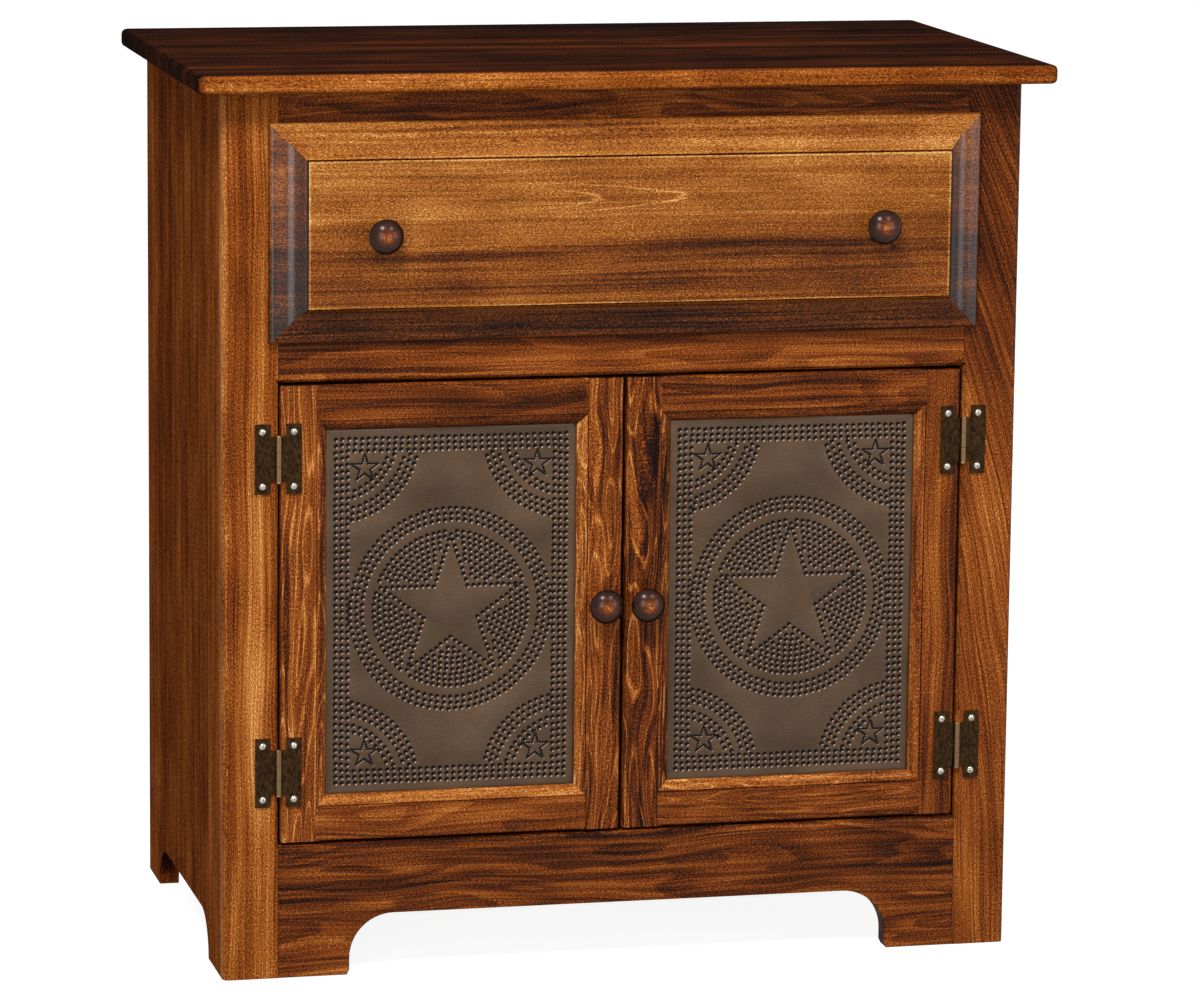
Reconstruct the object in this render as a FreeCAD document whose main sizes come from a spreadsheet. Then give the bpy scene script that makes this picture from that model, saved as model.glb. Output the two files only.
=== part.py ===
import FreeCAD, Part
import math
import os
import Sketcher
import sys

# Pie safe: a low free-standing cupboard with one full-width drawer over a pair of doors
# glazed with punched tin.
#
# Frame: millimetres. X runs across the case with 0 on its centre line, the front faces -Y,
# Z goes up from the floor. The origin is under the middle of the whole object's box.

doc = FreeCAD.newDocument("pie_safe")

# ---------------------------------------------------------------------------------------
# Driving dimensions
# ---------------------------------------------------------------------------------------

DIMENSIONS = [
    # case
    ("case_width", 762.0),
    ("case_depth", 447.0),
    ("apron_height", 127.0),
    ("door_opening_height", 437.0),
    ("middle_rail_height", 47.0),
    ("drawer_opening_height", 184.0),
    ("top_rail_height", 38.0),
    ("side_thickness", 19.0),
    ("dado_depth", 8.0),
    ("back_thickness", 6.0),
    ("floor_thickness", 19.0),
    # top board
    ("top_thickness", 17.5),
    ("top_side_overhang", 26.0),
    ("top_front_overhang", 30.0),
    ("top_back_overhang", 3.0),
    ("top_corner_radius", 8.0),
    ("top_edge_radius", 5.0),
    # face frame
    ("frame_thickness", 19.0),
    ("stile_width", 52.0),
    ("stile_edge_radius", 6.0),
    ("opening_bevel", 3.0),
    ("frame_tenon_length", 25.0),
    ("frame_tenon_thickness", 7.0),
    ("frame_tenon_shoulder", 9.0),
    ("joint_clearance", 0.1),
    # feet and arches
    ("foot_width", 120.0),
    ("toe_slant", 2.4),
    ("toe_height", 5.0),
    ("arch_height", 58.0),
    ("arch_radius", 42.0),
    ("side_front_foot", 84.0),
    ("side_rear_foot", 66.0),
    ("side_arch_height", 41.5),
    ("side_arch_spring", 0.5),
    # inside the case
    ("cleat_width", 52.0),
    ("cleat_thickness", 19.0),
    ("kicker_width", 22.0),
    ("kicker_reach", 20.0),
    ("rear_rail_thickness", 19.0),
    ("rear_rail_height", 60.0),
    ("runner_ledge_thickness", 16.0),
    ("runner_guide_height", 22.0),
    ("runner_lip", 6.0),
    ("guide_gap", 0.5),
    ("shelf_thickness", 18.0),
    ("shelf_rise", 200.0),
    ("shelf_setback", 26.0),
    ("shelf_gap", 2.0),
    ("shelf_seat_gap", 0.1),
    ("pin_radius", 2.5),
    ("pin_depth", 9.0),
    ("pin_reach", 10.0),
    ("pin_clearance", 0.1),
    ("pin_setback", 45.0),
    ("pin_holes_each_way", 2),
    ("pin_hole_pitch", 32.0),
    # drawer front
    ("drawer_lip", 9.5),
    ("drawer_stop_gap", 0.5),
    ("rim_thickness", 8.0),
    ("rim_radius", 4.0),
    ("tongue_width", 11.0),
    ("tongue_rise", 1.0),
    ("field_margin", 33.5),
    ("field_step", 2.0),
    ("field_thickness", 24.0),
    # drawer box
    ("box_board", 12.7),
    ("drawer_side_gap", 2.0),
    ("drawer_top_gap", 3.0),
    ("drawer_rear_gap", 22.5),
    ("drawer_running_gap", 0.3),
    ("drawer_bottom_thickness", 6.0),
    ("drawer_bottom_rise", 12.0),
    ("drawer_groove_depth", 6.0),
    ("tail_count", 5),
    ("tail_root", 16.0),
    ("tail_flare", 2.2),
    ("stop_button_length", 56.0),
    ("stop_button_width", 22.0),
    ("stop_button_thickness", 10.0),
    ("stop_button_rise", 10.0),
    # doors
    ("door_thickness", 19.0),
    ("door_gap", 3.0),
    ("meeting_gap", 4.0),
    ("door_member_width", 43.0),
    ("door_edge_radius", 3.0),
    ("sticking_width", 10.0),
    ("sticking_depth", 6.0),
    ("sticking_quirk", 0.8),
    ("sticking_radius", 14.0),
    ("panel_seat_depth", 8.0),
    ("panel_lap", 6.5),
    ("panel_clearance", 0.5),
    ("tin_thickness", 0.6),
    ("retainer_width", 12.0),
    ("retainer_thickness", 8.0),
    ("door_tenon_length", 22.0),
    ("door_tenon_thickness", 6.0),
    ("door_tenon_shoulder", 6.0),
    # magnetic catches
    ("strike_width", 34.0),
    ("strike_height", 13.0),
    ("strike_thickness", 1.2),
    ("strike_inset", 12.0),
    ("catch_gap", 0.3),
    ("catch_thickness", 12.0),
    ("catch_flange", 14.0),
    ("catch_flange_thickness", 2.0),
    # knobs
    ("knob_radius", 16.25),
    ("knob_height", 26.0),
    ("knob_foot_radius", 9.0),
    ("knob_foot_height", 4.0),
    ("knob_neck_radius", 7.0),
    ("knob_neck_height", 8.0),
    ("knob_flare_radius", 6.0),
    ("knob_dome_height", 8.75),
    ("knob_bore_clearance", 2.0),
    ("drawer_knob_inset", 102.2),
    ("door_knob_inset", 18.0),
    ("door_knob_lift", 1.5),
    # hinges
    ("leaf_width", 14.3),
    ("leaf_height", 65.3),
    ("leaf_thickness", 2.0),
    ("leaf_reach", 7.5),
    ("barrel_height", 42.0),
    ("barrel_radius", 3.0),
    ("knuckle_gap", 0.3),
    ("leaf_gap", 0.5),
    ("hinge_pin_radius", 1.5),
    ("hinge_pin_clearance", 0.05),
    ("hinge_tip_radius", 2.3),
    ("hinge_tip_height", 1.2),
    ("hinge_inset", 67.5),
    ("hinge_screw_spacing", 51.0),
    # screws
    ("screw_clearance", 0.05),
    ("recess_width", 0.8),
    ("recess_length", 3.6),
    ("recess_depth", 0.9),
    ("hinge_screw_head_radius", 3.25),
    ("hinge_screw_head_height", 1.6),
    ("hinge_screw_radius", 1.5),
    ("hinge_screw_length", 14.0),
    ("wood_screw_head_radius", 4.0),
    ("wood_screw_head_height", 2.4),
    ("wood_screw_radius", 2.0),
    ("wood_screw_length", 30.0),
    ("top_screw_inset", 17.0),
    ("top_screw_end", 60.0),
    ("top_screw_count", 3),
    ("front_screw_length", 25.0),
    ("front_screw_inset", 150.0),
    ("front_screw_spacing", 90.0),
    ("knob_screw_grip", 12.0),
    ("button_screw_length", 20.0),
    ("stop_screw_drop", 14.0),
]

# Places worked out from the driving dimensions, each as a formula of the second sheet.
PLACES = [
    # levels, up from the floor
    ("door_opening_top", "dims.apron_height + dims.door_opening_height"),
    ("drawer_opening_bottom", "door_opening_top + dims.middle_rail_height"),
    ("drawer_opening_top", "drawer_opening_bottom + dims.drawer_opening_height"),
    ("case_top", "drawer_opening_top + dims.top_rail_height"),
    ("drawer_middle", "drawer_opening_bottom + dims.drawer_opening_height / 2"),
    ("floor_bottom", "dims.apron_height - dims.floor_thickness"),
    ("rear_rail_bottom", "case_top - dims.rear_rail_height"),
    # depths, back from the front of the whole object
    ("depth_in_front", "dims.drawer_stop_gap + dims.field_thickness + dims.knob_height"),
    ("overall_depth", "depth_in_front + dims.case_depth + dims.top_back_overhang"),
    ("front", "depth_in_front - overall_depth / 2"),
    ("frame_back", "front + dims.frame_thickness"),
    ("back", "front + dims.case_depth"),
    ("back_inside", "back - dims.back_thickness"),
    ("rear_rail_front", "back_inside - dims.rear_rail_thickness"),
    ("side_depth", "dims.case_depth - dims.frame_thickness"),
    # half widths, out from the centre line
    ("case_half", "dims.case_width / 2"),
    ("inside_half", "case_half - dims.side_thickness"),
    ("dado_half", "inside_half + dims.dado_depth"),
    ("opening_half", "case_half - dims.stile_width"),
    ("side_arch_radius", "dims.side_arch_height - dims.side_arch_spring"),
    # drawer
    ("lip_half", "opening_half + dims.drawer_lip"),
    ("drawer_front_width", "2 * lip_half"),
    ("drawer_front_bottom", "drawer_opening_bottom - dims.drawer_lip"),
    ("drawer_front_height", "dims.drawer_opening_height + 2 * dims.drawer_lip"),
    ("drawer_front_back", "front - dims.drawer_stop_gap"),
    ("field_face", "drawer_front_back - dims.field_thickness"),
    ("cove_run", "dims.field_margin - dims.tongue_width"),
    ("cove_foot", "dims.rim_thickness + dims.tongue_rise"),
    ("cove_rise", "dims.field_thickness - dims.field_step - cove_foot"),
    ("cove_radius", "(cove_run ^ 2 + cove_rise ^ 2) / (2 * cove_rise)"),
    ("box_half", "opening_half - dims.drawer_side_gap"),
    ("box_inside_half", "box_half - dims.box_board"),
    ("box_bottom", "drawer_opening_bottom + dims.drawer_running_gap"),
    ("box_height", "dims.drawer_opening_height - dims.drawer_running_gap - dims.drawer_top_gap"),
    ("box_top", "box_bottom + box_height"),
    ("box_front_inside", "drawer_front_back + dims.box_board"),
    ("box_back", "rear_rail_front - dims.drawer_rear_gap"),
    ("box_depth", "box_back - drawer_front_back"),
    ("box_back_inside", "box_back - dims.box_board"),
    ("tail_pitch", "box_height / dims.tail_count"),
    ("tail_edge", "(tail_pitch - dims.tail_root) / 2"),
    ("guide_half", "box_half + dims.guide_gap"),
    ("ledge_half", "box_inside_half - dims.runner_lip"),
    ("kicker_inner", "box_half - dims.kicker_reach"),
    ("drawer_knob_x", "lip_half - dims.drawer_knob_inset"),
    ("front_screw_x", "box_inside_half - dims.front_screw_inset"),
    ("knob_bore_depth", "dims.knob_screw_grip + dims.knob_bore_clearance"),
    # doors
    ("door_bottom", "dims.apron_height + dims.door_gap"),
    ("door_height", "dims.door_opening_height - 2 * dims.door_gap"),
    ("door_top", "door_bottom + door_height"),
    ("door_outer", "opening_half - dims.door_gap"),
    ("door_inner", "dims.meeting_gap / 2"),
    ("door_back", "front + dims.door_thickness"),
    ("rail_outer", "door_outer - dims.door_member_width + dims.sticking_width"),
    ("rail_inner", "door_inner + dims.door_member_width - dims.sticking_width"),
    ("rabbet_wall", "dims.door_member_width - dims.panel_lap - dims.panel_clearance"),
    ("tin_inset", "dims.door_member_width - dims.panel_lap"),
    ("tin_front", "front + dims.panel_seat_depth"),
    ("tin_back", "tin_front + dims.tin_thickness"),
    ("retainer_back", "tin_back + dims.retainer_thickness"),
    ("tenon_front", "front + (dims.door_thickness - dims.door_tenon_thickness) / 2"),
    ("strike_top", "door_top - dims.door_gap"),
    # hinges
    ("hinge_axis_y", "front - dims.barrel_radius"),
    ("upper_hinge_middle", "door_top - dims.hinge_inset"),
    ("lower_hinge_middle", "door_bottom + dims.hinge_inset"),
    ("hinge_screw_reach", "dims.leaf_reach + dims.leaf_width / 2"),
    ("leaf_face", "front - dims.leaf_thickness"),
    ("knuckle_height", "(dims.barrel_height - 2 * dims.knuckle_gap) / 3"),
]


def fill_sheet(name, rows):
    """Write one value or formula per row, each under its own alias."""
    sheet = doc.addObject("Spreadsheet::Sheet", name)
    for number, (alias, content) in enumerate(rows, start=1):
        sheet.set(f"A{number}", alias)
        sheet.setAlias(f"B{number}", alias)
        sheet.set(f"B{number}", content if isinstance(content, str) else str(content))
    return sheet


dims = fill_sheet("dims", DIMENSIONS)
at = fill_sheet("at", [(alias, "=" + formula) for alias, formula in PLACES])
doc.recompute()


def value(formula):
    """The number that a formula of the two sheets gives now."""
    return float(dims.evalExpression(formula))


# ---------------------------------------------------------------------------------------
# Helpers
# ---------------------------------------------------------------------------------------

pieces = []


def piece(label, obj):
    """Name an object and keep it as one of the cupboard's pieces."""
    obj.Label = label
    pieces.append(obj)
    return obj


def bind(obj, **formulas):
    """Tie properties to formulas."""
    for name, formula in formulas.items():
        obj.setExpression(name, formula)


def place(obj, x="0", y="0", z="0", turn_about_x=0.0):
    """Put an object at a place given by three formulas, turned about X first."""
    turn = FreeCAD.Rotation(FreeCAD.Vector(1, 0, 0), turn_about_x)
    obj.Placement = FreeCAD.Placement(FreeCAD.Vector(0, 0, 0), turn)
    for axis, formula in (("x", x), ("y", y), ("z", z)):
        obj.setExpression(f"Placement.Base.{axis}", formula)
    return obj


def block(name, x, y, z):
    """A square-edged board between two formulas along each axis."""
    board = doc.addObject("Part::Box", name)
    bind(
        board,
        Length=f"({x[1]}) - ({x[0]})",
        Width=f"({y[1]}) - ({y[0]})",
        Height=f"({z[1]}) - ({z[0]})",
    )
    return place(board, x[0], y[0], z[0])


def cylinder(name, radius, height, x="0", y="0", z="0", turn_about_x=0.0):
    """A round bar or bore standing on its placement."""
    bar = doc.addObject("Part::Cylinder", name)
    bind(bar, Radius=radius, Height=height)
    return place(bar, x, y, z, turn_about_x)


def fuse(name, parts):
    """Several overlapping or touching solids made into one."""
    if len(parts) == 1:
        return parts[0]
    whole = doc.addObject("Part::MultiFuse", name)
    whole.Shapes = parts
    whole.Refine = True
    return whole


def group(name, parts):
    """Separate solids kept together as one object."""
    whole = doc.addObject("Part::Compound", name)
    whole.Links = parts
    return whole


def cut(name, base, tools):
    """A base with the tools' volume taken out of it."""
    result = doc.addObject("Part::Cut", name)
    result.Base = base
    result.Tool = fuse(name + "_tools", tools)
    result.Refine = True
    return result


def mirrored(name, source):
    """The right-hand twin of a left-hand object."""
    twin = doc.addObject("Part::Mirroring", name)
    twin.Source = source
    twin.Base = FreeCAD.Vector(0, 0, 0)
    twin.Normal = FreeCAD.Vector(1, 0, 0)
    return twin


def both_sides(name, parts):
    """Left-hand solids and their mirrored twins as one object."""
    left = group(name + "_left_set", parts)
    return group(name + "_set", [left, mirrored(name + "_right_set", left)])


def pair(left_label, left):
    """Keep a left-hand piece and its mirrored right-hand twin."""
    piece(left_label, left)
    right_label = left_label.replace("left", "right")
    return piece(right_label, mirrored(right_label + "_twin", left))


def origin_plane(body, role):
    for feature in body.Origin.OriginFeatures:
        if feature.Role == role:
            return feature
    raise ValueError(role)


def hold(sketch, kind, edge, end, formula):
    """Fix one coordinate of a point to a formula, measured from the sketch's origin."""
    size = value(formula)
    if size == 0:
        axis = -2 if kind == "DistanceX" else -1
        sketch.addConstraint(Sketcher.Constraint("PointOnObject", edge, end, axis))
        return
    ends = (-1, 1, edge, end) if size > 0 else (edge, end, -1, 1)
    index = sketch.addConstraint(Sketcher.Constraint(kind, *ends, abs(size)))
    sketch.setExpression(f"Constraints[{index}]", formula if size > 0 else f"-({formula})")


def arc_between(start, end, radius, turn):
    """The short arc from start to end: turn is +1 for anticlockwise, -1 for clockwise."""
    chord = end - start
    middle = (start + end) / 2
    left = FreeCAD.Vector(-chord.y, chord.x, 0).normalize()
    centre = middle + left * turn * math.sqrt(max(radius**2 - chord.Length**2 / 4, 0))
    first, last = (start, end) if turn > 0 else (end, start)
    angles = [math.atan2(point.y - centre.y, point.x - centre.x) for point in (first, last)]
    circle = Part.Circle(centre, FreeCAD.Vector(0, 0, 1), radius)
    return Part.ArcOfCircle(circle, *angles)


def draw(sketch, outline):
    """Draw a closed outline. Each corner is (u, v) or (u, v, radius, turn) where an arc
    of that radius runs from it to the next corner."""
    points = [FreeCAD.Vector(value(corner[0]), value(corner[1]), 0) for corner in outline]
    ends = []
    for index, corner in enumerate(outline):
        start = points[index]
        end = points[(index + 1) % len(points)]
        if len(corner) == 2:
            edge = sketch.addGeometry(Part.LineSegment(start, end), False)
            ends.append((edge, 1, 2))
            continue
        radius, turn = corner[2:]
        edge = sketch.addGeometry(arc_between(start, end, value(radius), turn), False)
        ends.append((edge, 1, 2) if turn > 0 else (edge, 2, 1))
        size = sketch.addConstraint(Sketcher.Constraint("Radius", edge, value(radius)))
        sketch.setExpression(f"Constraints[{size}]", radius)
    for index, (edge, first, last) in enumerate(ends):
        after, after_first, _ = ends[(index + 1) % len(ends)]
        sketch.addConstraint(Sketcher.Constraint("Coincident", edge, last, after, after_first))
    for (edge, first, _), corner in zip(ends, outline):
        hold(sketch, "DistanceX", edge, first, corner[0])
        hold(sketch, "DistanceY", edge, first, corner[1])


def sketch_on(body, name, role, outline):
    sketch = body.newObject("Sketcher::SketchObject", name)
    sketch.AttachmentSupport = (origin_plane(body, role), [""])
    sketch.MapMode = "FlatFace"
    draw(sketch, outline)
    return sketch


def prism(name, role, outline, length, reverse=False):
    """A body padded from one outline. XY pads go up, YZ pads go +X, XZ pads go -Y,
    and reverse turns them round."""
    body = doc.addObject("PartDesign::Body", name)
    pad = body.newObject("PartDesign::Pad", name + "_pad")
    pad.Profile = sketch_on(body, name + "_outline", role, outline)
    bind(pad, Length=length)
    pad.Reversed = reverse
    body.Tip = pad
    return body


def turned(name, outline):
    """A body turned about Z from a half section of (radius, height) corners."""
    body = doc.addObject("PartDesign::Body", name)
    sketch = sketch_on(body, name + "_section", "XZ_Plane", outline)
    turn = body.newObject("PartDesign::Revolution", name + "_turning")
    turn.Profile = sketch
    turn.ReferenceAxis = (sketch, ["V_Axis"])
    turn.Angle = 360
    body.Tip = turn
    return body


def linked(name, source, x, y, z, turn_about_x=0.0):
    """One more copy of a small master piece at its own place."""
    copy = doc.addObject("App::Link", name)
    copy.LinkedObject = source
    return place(copy, x, y, z, turn_about_x)


def level_edges(obj, height):
    """Names of the edges that lie wholly at one height."""
    found = []
    for number, edge in enumerate(obj.Shape.Edges, start=1):
        box = edge.BoundBox
        if abs(box.ZMin - height) < 1e-6 and abs(box.ZMax - height) < 1e-6:
            found.append(f"Edge{number}")
    return found


def upright_edges(obj):
    """Names of the edges that run straight up."""
    found = []
    for number, edge in enumerate(obj.Shape.Edges, start=1):
        box = edge.BoundBox
        if box.XLength < 1e-6 and box.YLength < 1e-6:
            found.append(f"Edge{number}")
    return found


# ---------------------------------------------------------------------------------------
# Screws
# ---------------------------------------------------------------------------------------

# Turn about X that points a screw's head, and the turn that points its shank's bore.
HEAD_TURN = {"front": 90.0, "back": -90.0, "down": 180.0}
BORE_TURN = {"front": -90.0, "back": 90.0, "down": 0.0}


def screw_master(name, kind, length):
    """A round-headed screw along Z: head above 0, shank below, with a crossed recess."""
    head = f"dims.{kind}_head_radius"
    rise = f"dims.{kind}_head_height"
    shank = f"dims.{kind}_radius"
    dome = f"(({head}) ^ 2 + ({rise}) ^ 2) / (2 * ({rise}))"
    outline = [
        ("0", f"-({length})"),
        (shank, f"-({length})"),
        (shank, "0"),
        (head, "0", dome, 1),
        ("0", rise),
    ]
    body = turned(name + "_blank", outline)
    depth = f"{rise} - dims.recess_depth"
    half = "dims.recess_width / 2"
    reach = "dims.recess_length / 2"
    span = (depth, rise)
    slots = [
        block(name + "_slot_x", (f"-{reach}", reach), (f"-{half}", half), span),
        block(name + "_slot_y", (f"-{half}", half), (f"-{reach}", reach), span),
    ]
    return cut(name, body, slots)


def screw_set(name, master, kind, length, facing, places):
    """Screws at a list of (x, y, z) places under the head, with the bores they need."""
    screws = []
    bores = []
    for number, (x, y, z) in enumerate(places, start=1):
        screws.append(linked(f"{name}_{number}", master, x, y, z, HEAD_TURN[facing]))
        radius = f"dims.{kind}_radius + dims.screw_clearance"
        depth = f"({length}) + dims.joint_clearance"
        bore = cylinder(f"{name}_bore_{number}", radius, depth, x, y, z, BORE_TURN[facing])
        bores.append(bore)
    return screws, bores


# ---------------------------------------------------------------------------------------
# Case
# ---------------------------------------------------------------------------------------


def build_top(bores):
    """Top board with rounded corners and a rounded edge above and below."""
    width = "dims.case_width + 2 * dims.top_side_overhang"
    depth = "dims.case_depth + dims.top_front_overhang + dims.top_back_overhang"
    outline = [("0", "0"), (width, "0"), (width, depth), ("0", depth)]
    board = prism("top_blank", "XY_Plane", outline, "dims.top_thickness")
    slab = board.Tip
    doc.recompute()
    corners = board.newObject("PartDesign::Fillet", "top_corners")
    corners.Base = (slab, upright_edges(slab))
    bind(corners, Radius="dims.top_corner_radius")
    board.Tip = corners
    doc.recompute()
    rounds = board.newObject("PartDesign::Fillet", "top_rounds")
    rims = level_edges(corners, 0.0) + level_edges(corners, value("dims.top_thickness"))
    rounds.Base = (corners, rims)
    bind(rounds, Radius="dims.top_edge_radius")
    board.Tip = rounds
    x = "-at.case_half - dims.top_side_overhang"
    place(board, x, "at.front - dims.top_front_overhang", "at.case_top")
    piece("top_board", cut("top_bored", board, bores))


def pin_places(hole):
    """Front and rear (y, z) of one row of shelf pin holes, counted up from the pins."""
    offset = f"({hole}) * dims.pin_hole_pitch"
    level = f"dims.apron_height + dims.shelf_rise - dims.pin_radius + {offset}"
    front = "at.frame_back + dims.shelf_setback + dims.pin_setback"
    rear = "at.back_inside - dims.shelf_gap - dims.pin_setback"
    return [(front, level), (rear, level)]


def pin_bores():
    """Bores for the shelf pins in the left side."""
    bores = []
    reach = int(value("dims.pin_holes_each_way"))
    for row, hole in enumerate(range(-reach, reach + 1)):
        for number, (y, z) in enumerate(pin_places(hole), start=1):
            bore = doc.addObject("Part::Cylinder", f"pin_bore_{row}_{number}")
            bind(bore, Radius="dims.pin_radius + dims.pin_clearance")
            bind(bore, Height="dims.pin_depth + dims.joint_clearance")
            across = FreeCAD.Rotation(FreeCAD.Vector(0, 1, 0), 90)
            bore.Placement = FreeCAD.Placement(FreeCAD.Vector(0, 0, 0), across)
            x = "-at.inside_half - dims.pin_depth - dims.joint_clearance"
            for axis, formula in (("x", x), ("y", y), ("z", z)):
                bore.setExpression(f"Placement.Base.{axis}", formula)
            bores.append(bore)
    return bores


def build_sides():
    """Left side with its arch, the dado for the floor, the rear rabbet and pin bores."""
    depth = "at.side_depth"
    front_foot = "dims.side_front_foot - dims.frame_thickness"
    rear_foot = f"{depth} - dims.side_rear_foot"
    spring = "dims.side_arch_spring"
    rise = "dims.side_arch_height"
    curve = "at.side_arch_radius"
    outline = [
        ("0", "0"),
        (front_foot, "0"),
        (front_foot, spring, curve, -1),
        (f"{front_foot} + {curve}", rise),
        (f"{rear_foot} - {curve}", rise, curve, -1),
        (rear_foot, spring),
        (rear_foot, "0"),
        (depth, "0"),
        (depth, "at.case_top"),
        ("0", "at.case_top"),
    ]
    board = prism("left_side_blank", "YZ_Plane", outline, "dims.side_thickness")
    place(board, "-at.case_half", "at.frame_back", "0")
    inward = ("-at.dado_half", "0")
    level = ("at.floor_bottom", "dims.apron_height")
    dado = block("floor_dado", inward, ("at.frame_back", "at.back"), level)
    height = ("at.floor_bottom", "at.case_top")
    rabbet = block("back_rabbet", inward, ("at.back_inside", "at.back"), height)
    pair("left_side", cut("left_side_cut", board, [dado, rabbet] + pin_bores()))


def frame_rail(name, bottom, top):
    """A plain rail blank between the stiles and the tenon at its left end."""
    across = ("-at.opening_half", "at.opening_half")
    rail = block(name + "_blank", across, ("at.front", "at.frame_back"), (bottom, top))
    return [rail] + frame_tenons(name, bottom, top, "0")


def frame_tenons(name, bottom, top, slack):
    """Tenons at both ends of a rail, grown all round by slack for the mortises."""
    near = f"at.front + (dims.frame_thickness - dims.frame_tenon_thickness) / 2 - ({slack})"
    far = f"at.front + (dims.frame_thickness + dims.frame_tenon_thickness) / 2 + ({slack})"
    low = f"{bottom} + dims.frame_tenon_shoulder - ({slack})"
    high = f"{top} - dims.frame_tenon_shoulder + ({slack})"
    reach = f"at.opening_half + dims.frame_tenon_length + ({slack})"
    return [
        block(name + "_left_tenon", (f"-({reach})", "-at.opening_half"), (near, far), (low, high)),
        block(name + "_right_tenon", ("at.opening_half", reach), (near, far), (low, high)),
    ]


def opening_easing():
    """A shallow four-sided taper that eases the front edges of the door opening."""
    taper = doc.addObject("Part::Wedge", "opening_easing")
    bind(
        taper,
        Xmin="-at.opening_half - dims.opening_bevel",
        Xmax="at.opening_half + dims.opening_bevel",
        Zmin="dims.apron_height - dims.opening_bevel",
        Zmax="at.door_opening_top + dims.opening_bevel",
        Ymin="0",
        Ymax="dims.opening_bevel",
        X2min="-at.opening_half",
        X2max="at.opening_half",
        Z2min="dims.apron_height",
        Z2max="at.door_opening_top",
    )
    return place(taper, "0", "at.front", "0")


RAILS = [
    ("bottom_apron", "0", "dims.apron_height"),
    ("middle_rail", "at.door_opening_top", "at.drawer_opening_bottom"),
    ("top_rail", "at.drawer_opening_top", "at.case_top"),
]


def apron_arch():
    """The arch under the apron, as the volume to cut away below it."""
    foot = "at.case_half - dims.foot_width"
    spring = "dims.arch_height - dims.arch_radius"
    crown = f"{foot} - dims.arch_radius"
    outline = [
        (f"-({foot}) - dims.toe_slant", "0"),
        (f"{foot} + dims.toe_slant", "0"),
        (foot, "dims.toe_height"),
        (foot, spring, "dims.arch_radius", 1),
        (crown, "dims.arch_height"),
        (f"-({crown})", "dims.arch_height", "dims.arch_radius", 1),
        (f"-({foot})", spring),
        (f"-({foot})", "dims.toe_height"),
    ]
    arch = prism("apron_arch", "XZ_Plane", outline, "dims.frame_thickness", reverse=True)
    return place(arch, "0", "at.front", "0")


def build_face_frame(stile_bores):
    """Stiles full height, three rails tenoned between them."""
    easing = opening_easing()
    mortises = []
    for name, bottom, top in RAILS:
        mortises += frame_tenons(name + "_mortise", bottom, top, "dims.joint_clearance")[:1]
    curve = "dims.stile_edge_radius"
    outline = [
        ("0", curve, curve, 1),
        (curve, "0"),
        ("dims.stile_width", "0"),
        ("dims.stile_width", "dims.frame_thickness"),
        ("0", "dims.frame_thickness"),
    ]
    stile = prism("left_stile_blank", "XY_Plane", outline, "at.case_top")
    place(stile, "-at.case_half", "at.front", "0")
    pair("left_stile", cut("left_stile_cut", stile, mortises + [easing] + stile_bores))
    for name, bottom, top in RAILS:
        rail = fuse(name + "_whole", frame_rail(name, bottom, top))
        if name == "top_rail":
            piece(name, rail)
        elif name == "middle_rail":
            piece(name, cut(name + "_cut", rail, [easing]))
        else:
            piece(name, cut(name + "_cut", rail, [easing, apron_arch()]))


def build_case_inside(cleat_bores):
    """Floor, back, shelf and what carries and guides the drawer."""
    inside = ("-at.inside_half", "at.inside_half")
    depth = ("at.frame_back", "at.back_inside")
    dado = ("-at.dado_half", "at.dado_half")
    floor_level = ("at.floor_bottom", "dims.apron_height")
    piece("cabinet_floor", block("floor_board", dado, depth, floor_level))
    back_height = ("at.floor_bottom", "at.case_top")
    piece("back_panel", block("back_board", dado, ("at.back_inside", "at.back"), back_height))
    rail_depth = ("at.rear_rail_front", "at.back_inside")
    rail_height = ("at.rear_rail_bottom", "at.case_top")
    piece("rear_top_rail", block("rear_rail", inside, rail_depth, rail_height))

    shelf_bottom = "dims.apron_height + dims.shelf_rise + dims.shelf_seat_gap"
    shelf = block(
        "shelf_board",
        ("-at.inside_half + dims.shelf_gap", "at.inside_half - dims.shelf_gap"),
        ("at.frame_back + dims.shelf_setback", "at.back_inside - dims.shelf_gap"),
        (shelf_bottom, f"{shelf_bottom} + dims.shelf_thickness"),
    )
    piece("shelf", shelf)
    piece("shelf_pins", group("shelf_pin_set", shelf_pins()))

    run = ("at.frame_back", "at.rear_rail_front")
    cleat_inner = "-at.inside_half + dims.cleat_width"
    cleat_bottom = "at.case_top - dims.cleat_thickness"
    cleat_height = (cleat_bottom, "at.case_top")
    cleat = block("left_cleat_blank", ("-at.inside_half", cleat_inner), run, cleat_height)
    pair("left_top_cleat", cut("left_cleat", cleat, cleat_bores))
    kicker = ("-at.kicker_inner - dims.kicker_width", "-at.kicker_inner")
    kicker_height = ("at.drawer_opening_top", cleat_bottom)
    pair("left_drawer_kicker", block("left_kicker", kicker, run, kicker_height))

    ledge = block(
        "left_runner_ledge",
        ("-at.inside_half", "-at.ledge_half"),
        depth,
        ("at.drawer_opening_bottom - dims.runner_ledge_thickness", "at.drawer_opening_bottom"),
    )
    guide = block(
        "left_runner_guide",
        ("-at.inside_half", "-at.guide_half"),
        depth,
        ("at.drawer_opening_bottom", "at.drawer_opening_bottom + dims.runner_guide_height"),
    )
    pair("left_drawer_runner", fuse("left_runner", [ledge, guide]))


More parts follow.
